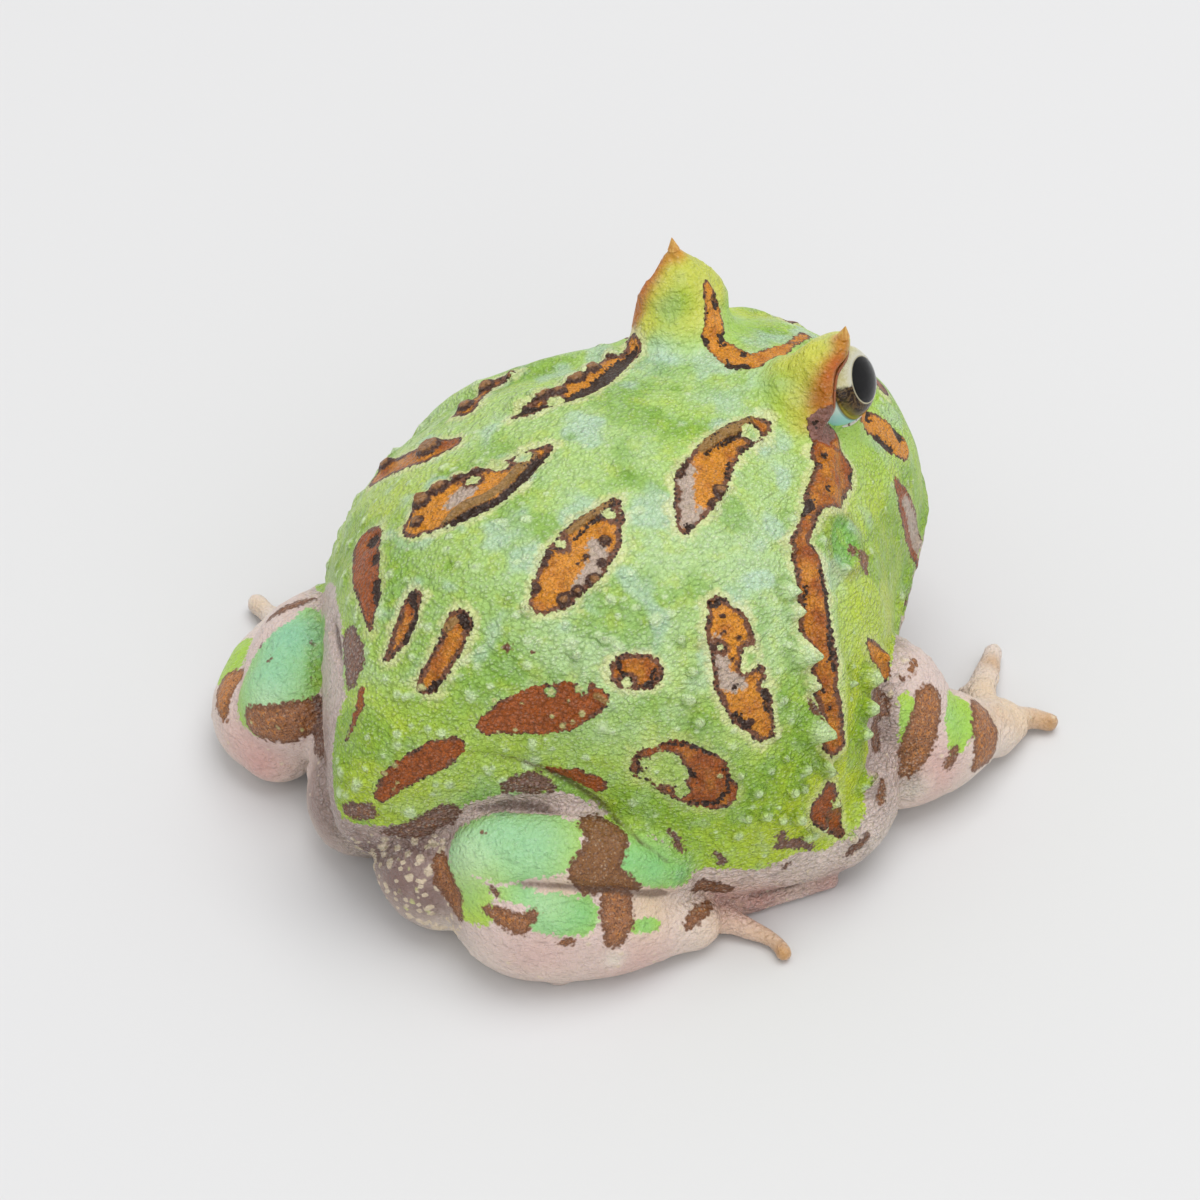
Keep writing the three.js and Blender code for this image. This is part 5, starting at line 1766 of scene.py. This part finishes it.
in_pupil = mask(out, PUPIL_RADIUS + 0.02, PUPIL_RADIUS - 0.02) * mask(along, 0, 1)
ball = layered(
    brown,
    [
        (olive_share, linear(156, 146, 62)),
        (mask(high, 0.36, 0.52), cream),
        (mask(out, PUPIL_RADIUS + 0.3, PUPIL_RADIUS + 0.1), linear(222, 214, 180)),
        (behind, white),
        (line, linear(36, 32, 28)),
        (in_pupil, (0.002, 0.002, 0.003)),
    ],
)
iris = {"Base Color": ball, "Roughness": 0.5, "Specular IOR Level": 0.05}
surfaced(iris, streak, 0.5, 0.0001)
print("eyeball material:", len(tree.nodes), "nodes")

# %% Cornea material
cornea_finish = new_material("cornea")
tree = cornea_finish.node_tree
clear_film = {
    "Base Color": rgba((1, 1, 1)),
    "Roughness": 0.0,
    "IOR": 1.34,
    "Specular IOR Level": 0.14,
    "Transmission Weight": 1.0,
}
surfaced(clear_film, noise(millimetres(), 0.3, 0.0), 0.1, 0.0001)

for name, globe, clear in zip(SIDES, eyes, corneas):
    cover(globe, eye_finish)
    cover(clear, cornea_finish)
    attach(globe, "root")
    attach(clear, "root")
    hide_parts(f"eye_{name}")
print("eyes finished")

# %% [markdown]
# ## Lid edges
# Where the lids meet the eyeball their edge is a thin moist seam, whitish below and rusty
# above. It is a narrow tube that follows the edge of the opening round the eyeball.
# %% Lid edge shape
LID_EDGE = 0.025
LID_THICK = 0.2
LOW_LID_MORE = 0.12
LID_ROUNDS = 6


def lid_curve(side, rows=120):
    """Directions to the lids' edge: for each turn about the opening's axis, the first angle from
    it, out of a fine table, where the direction is no longer inside the opening."""
    axis = head_way(OPENING, side)
    first = unit(np.cross(axis, [0, 0, 1]))
    flat = circle(first, np.cross(first, axis), rows)[:, None]
    polar = np.radians(np.linspace(30, 110, 400))[:, None]
    ways = axis * np.cos(polar) + flat * np.sin(polar)
    index = np.argmax(lid_opening(ways, side) < LID_EDGE, axis=1)
    return ways[np.arange(rows), index]


def closed_tube(path, middle, size, sides=12):
    """A tube round a closed path about a middle: its section lies across the path, between the
    way out from the middle and the way sideways; both turns are closed."""
    tangent = unit(np.roll(path, -1, 0) - np.roll(path, 1, 0))
    outwards = unit(path - middle)
    ring = circle(outwards[:, None], np.cross(tangent, outwards)[:, None], sides)
    points = (path[:, None] + size[:, None, None] * ring).reshape(-1, 3)
    index = np.arange(len(points)).reshape(-1, sides)
    next_row = np.roll(index, -1, 0)
    next_side = np.roll(index, -1, 1)
    both = np.roll(next_row, -1, 1)
    quads = np.stack([index, next_row, both, next_side], -1).reshape(-1, 4)
    triangles = np.concatenate([quads[:, [0, 1, 2]], quads[:, [0, 2, 3]]])
    return points, outward(points - middle, triangles)


print("the left lids' edge has", len(lid_curve(1)), "places")

# %% Lid edges
lid_finish = new_material("lid_edge")
tree = lid_finish.node_tree
place = millimetres()
rusty = mask(noise(place, 0.8) * 0.5 + field("high"), 0.1, 0.5)
lid_tone = blend(rusty, linear(212, 206, 198), linear(150, 84, 40))
lid_tone = blend(mask(noise(place, 2.0), 0.5, 0.7), lid_tone, linear(110, 84, 68))
wet_lid = {"Base Color": lid_tone, "Roughness": 0.3, "Coat Weight": 0.3}
surfaced(wet_lid, noise(place, 3.0), 0.4, 0.0001)
for name, side in SIDES.items():
    ways = lid_curve(side)
    for _ in range(LID_ROUNDS):
        ways = unit((np.roll(ways, 1, 0) + ways + np.roll(ways, -1, 0)) / 3)
    path = eye_middle(side) + ways * (EYE_RADIUS + 0.1)
    size = LID_THICK + LOW_LID_MORE * smooth_step(-ways[:, 2], -0.2, 0.6)
    points, triangles = closed_tube(path, eye_middle(side), size)
    lid = mesh_object(f"lid_edge_{name}", points, triangles)
    store(lid, "high", (points - eye_middle(side))[:, 2] / EYE_RADIUS)
    cover(lid, lid_finish)
    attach(lid, "root")
print("lid edges:", len(SIDES))

# %% [markdown]
# ## Horn tips
# The little horn over each eye ends in a hardened point. It is a leaning cone with hollow sides
# and shallow growth rings, rooted in the spike of the brow.
# %% Horns
HORN_FROM = 9.1
HORN_TO = 11.0
HORN_ROOT = 0.62
HORN_ROUND = 0.18


def horn(side):
    """Rings along the horn's way; the radius falls as (1 - t)^1.1 and ripples slightly, and the
    last rings close round the tip."""
    t = np.linspace(0, 1, 40)
    way = head_way(HORN_WAY, side)
    centre = eye_middle(side) + way * (HORN_FROM + (HORN_TO - HORN_FROM) * t)[:, None]
    ripple = 1 + 0.03 * np.sin(40 * t)
    radius = HORN_ROOT * (1 - t) ** 1.1 * ripple + HORN_ROUND * np.sqrt(1 - t)
    radius[[0, -1]] = 0
    first = unit(np.cross(way, [0, 1, 0]))
    ring = circle(first, np.cross(way, first), 32)
    return loft(centre[:, None] + ring * radius[:, None, None])


horn_finish = new_material("horn")
tree = horn_finish.node_tree
streaks = noise(millimetres((3, 3, 0.6)), 1.2, 3.0)
horn_tone = blend(mask(streaks, 0.35, 0.65), linear(196, 134, 56), linear(222, 176, 92))
surfaced({"Base Color": horn_tone, "Roughness": 0.42}, streaks, 0.5, 0.0002)
for name, side in SIDES.items():
    point = mesh_object(f"horn_{name}", *horn(side))
    cover(point, horn_finish)
    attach(point, "root")
print("horns:", len(SIDES))

# %% [markdown]
# ## Floor and light
# The frog sits on a seamless pale floor under a large soft light, with bright air all round,
# so its shadow is faint and wide. Neither floor nor lights are part of the frog.
# %% Studio
FLOOR_HALF = 3
FLOOR_GREY = (0.70, 0.70, 0.705)
AIR_STRENGTH = 0.72
LIT_PLACE = Vector((0, 0, 0.02))
floor_finish = new_material("pale_floor")
tree = floor_finish.node_tree
put("OutputMaterial", {"Surface": put("BsdfPrincipled", {"Base Color": rgba(FLOOR_GREY), "Roughness": 0.7})})
floor_mesh = bpy.data.meshes.new("floor")
corners = [(x * FLOOR_HALF, y * FLOOR_HALF, 0) for x, y in [(-1, -1), (1, -1), (1, 1), (-1, 1)]]
floor_mesh.from_pydata(corners, [], [(0, 1, 2, 3)])
floor_mesh.materials.append(floor_finish)
floor = placed("floor", floor_mesh)
floor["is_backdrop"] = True

world = bpy.data.worlds.new("bright_air")
world.use_nodes = True
air = world.node_tree.nodes["Background"].inputs
air["Color"].default_value = (1, 1, 1, 1)
air["Strength"].default_value = AIR_STRENGTH
bpy.context.scene.world = world


def soft_light(name, place, size, power):
    """A square light aimed at the frog."""
    made = placed(name, bpy.data.lights.new(name, "AREA"))
    made.data.size = size
    made.data.energy = power
    made.location = place
    made.rotation_euler = (LIT_PLACE - Vector(place)).to_track_quat("-Z", "Y").to_euler()
    made.visible_camera = False


soft_light("top_light", (-0.05, -0.3, 1.6), 1.3, 13.6)
soft_light("side_light", (-0.9, 0.6, 0.45), 0.9, 2.0)
bpy.context.scene.view_settings.view_transform = "Standard"
print("studio ready")

# %% [markdown]
# ## Sizes
# The visual model keeps to the solids' size, and both boxes are printed.
# %% Sizes
SHOWN_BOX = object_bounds()
boxes = {
    "cad": [list(CAD_BOX[0]), list(CAD_BOX[1])],
    "visual": [list(SHOWN_BOX[0]), list(SHOWN_BOX[1])],
}
for key, (low, high) in boxes.items():
    print(key, (np.array(low) * 1000).round(1), (np.array(high) * 1000).round(1))
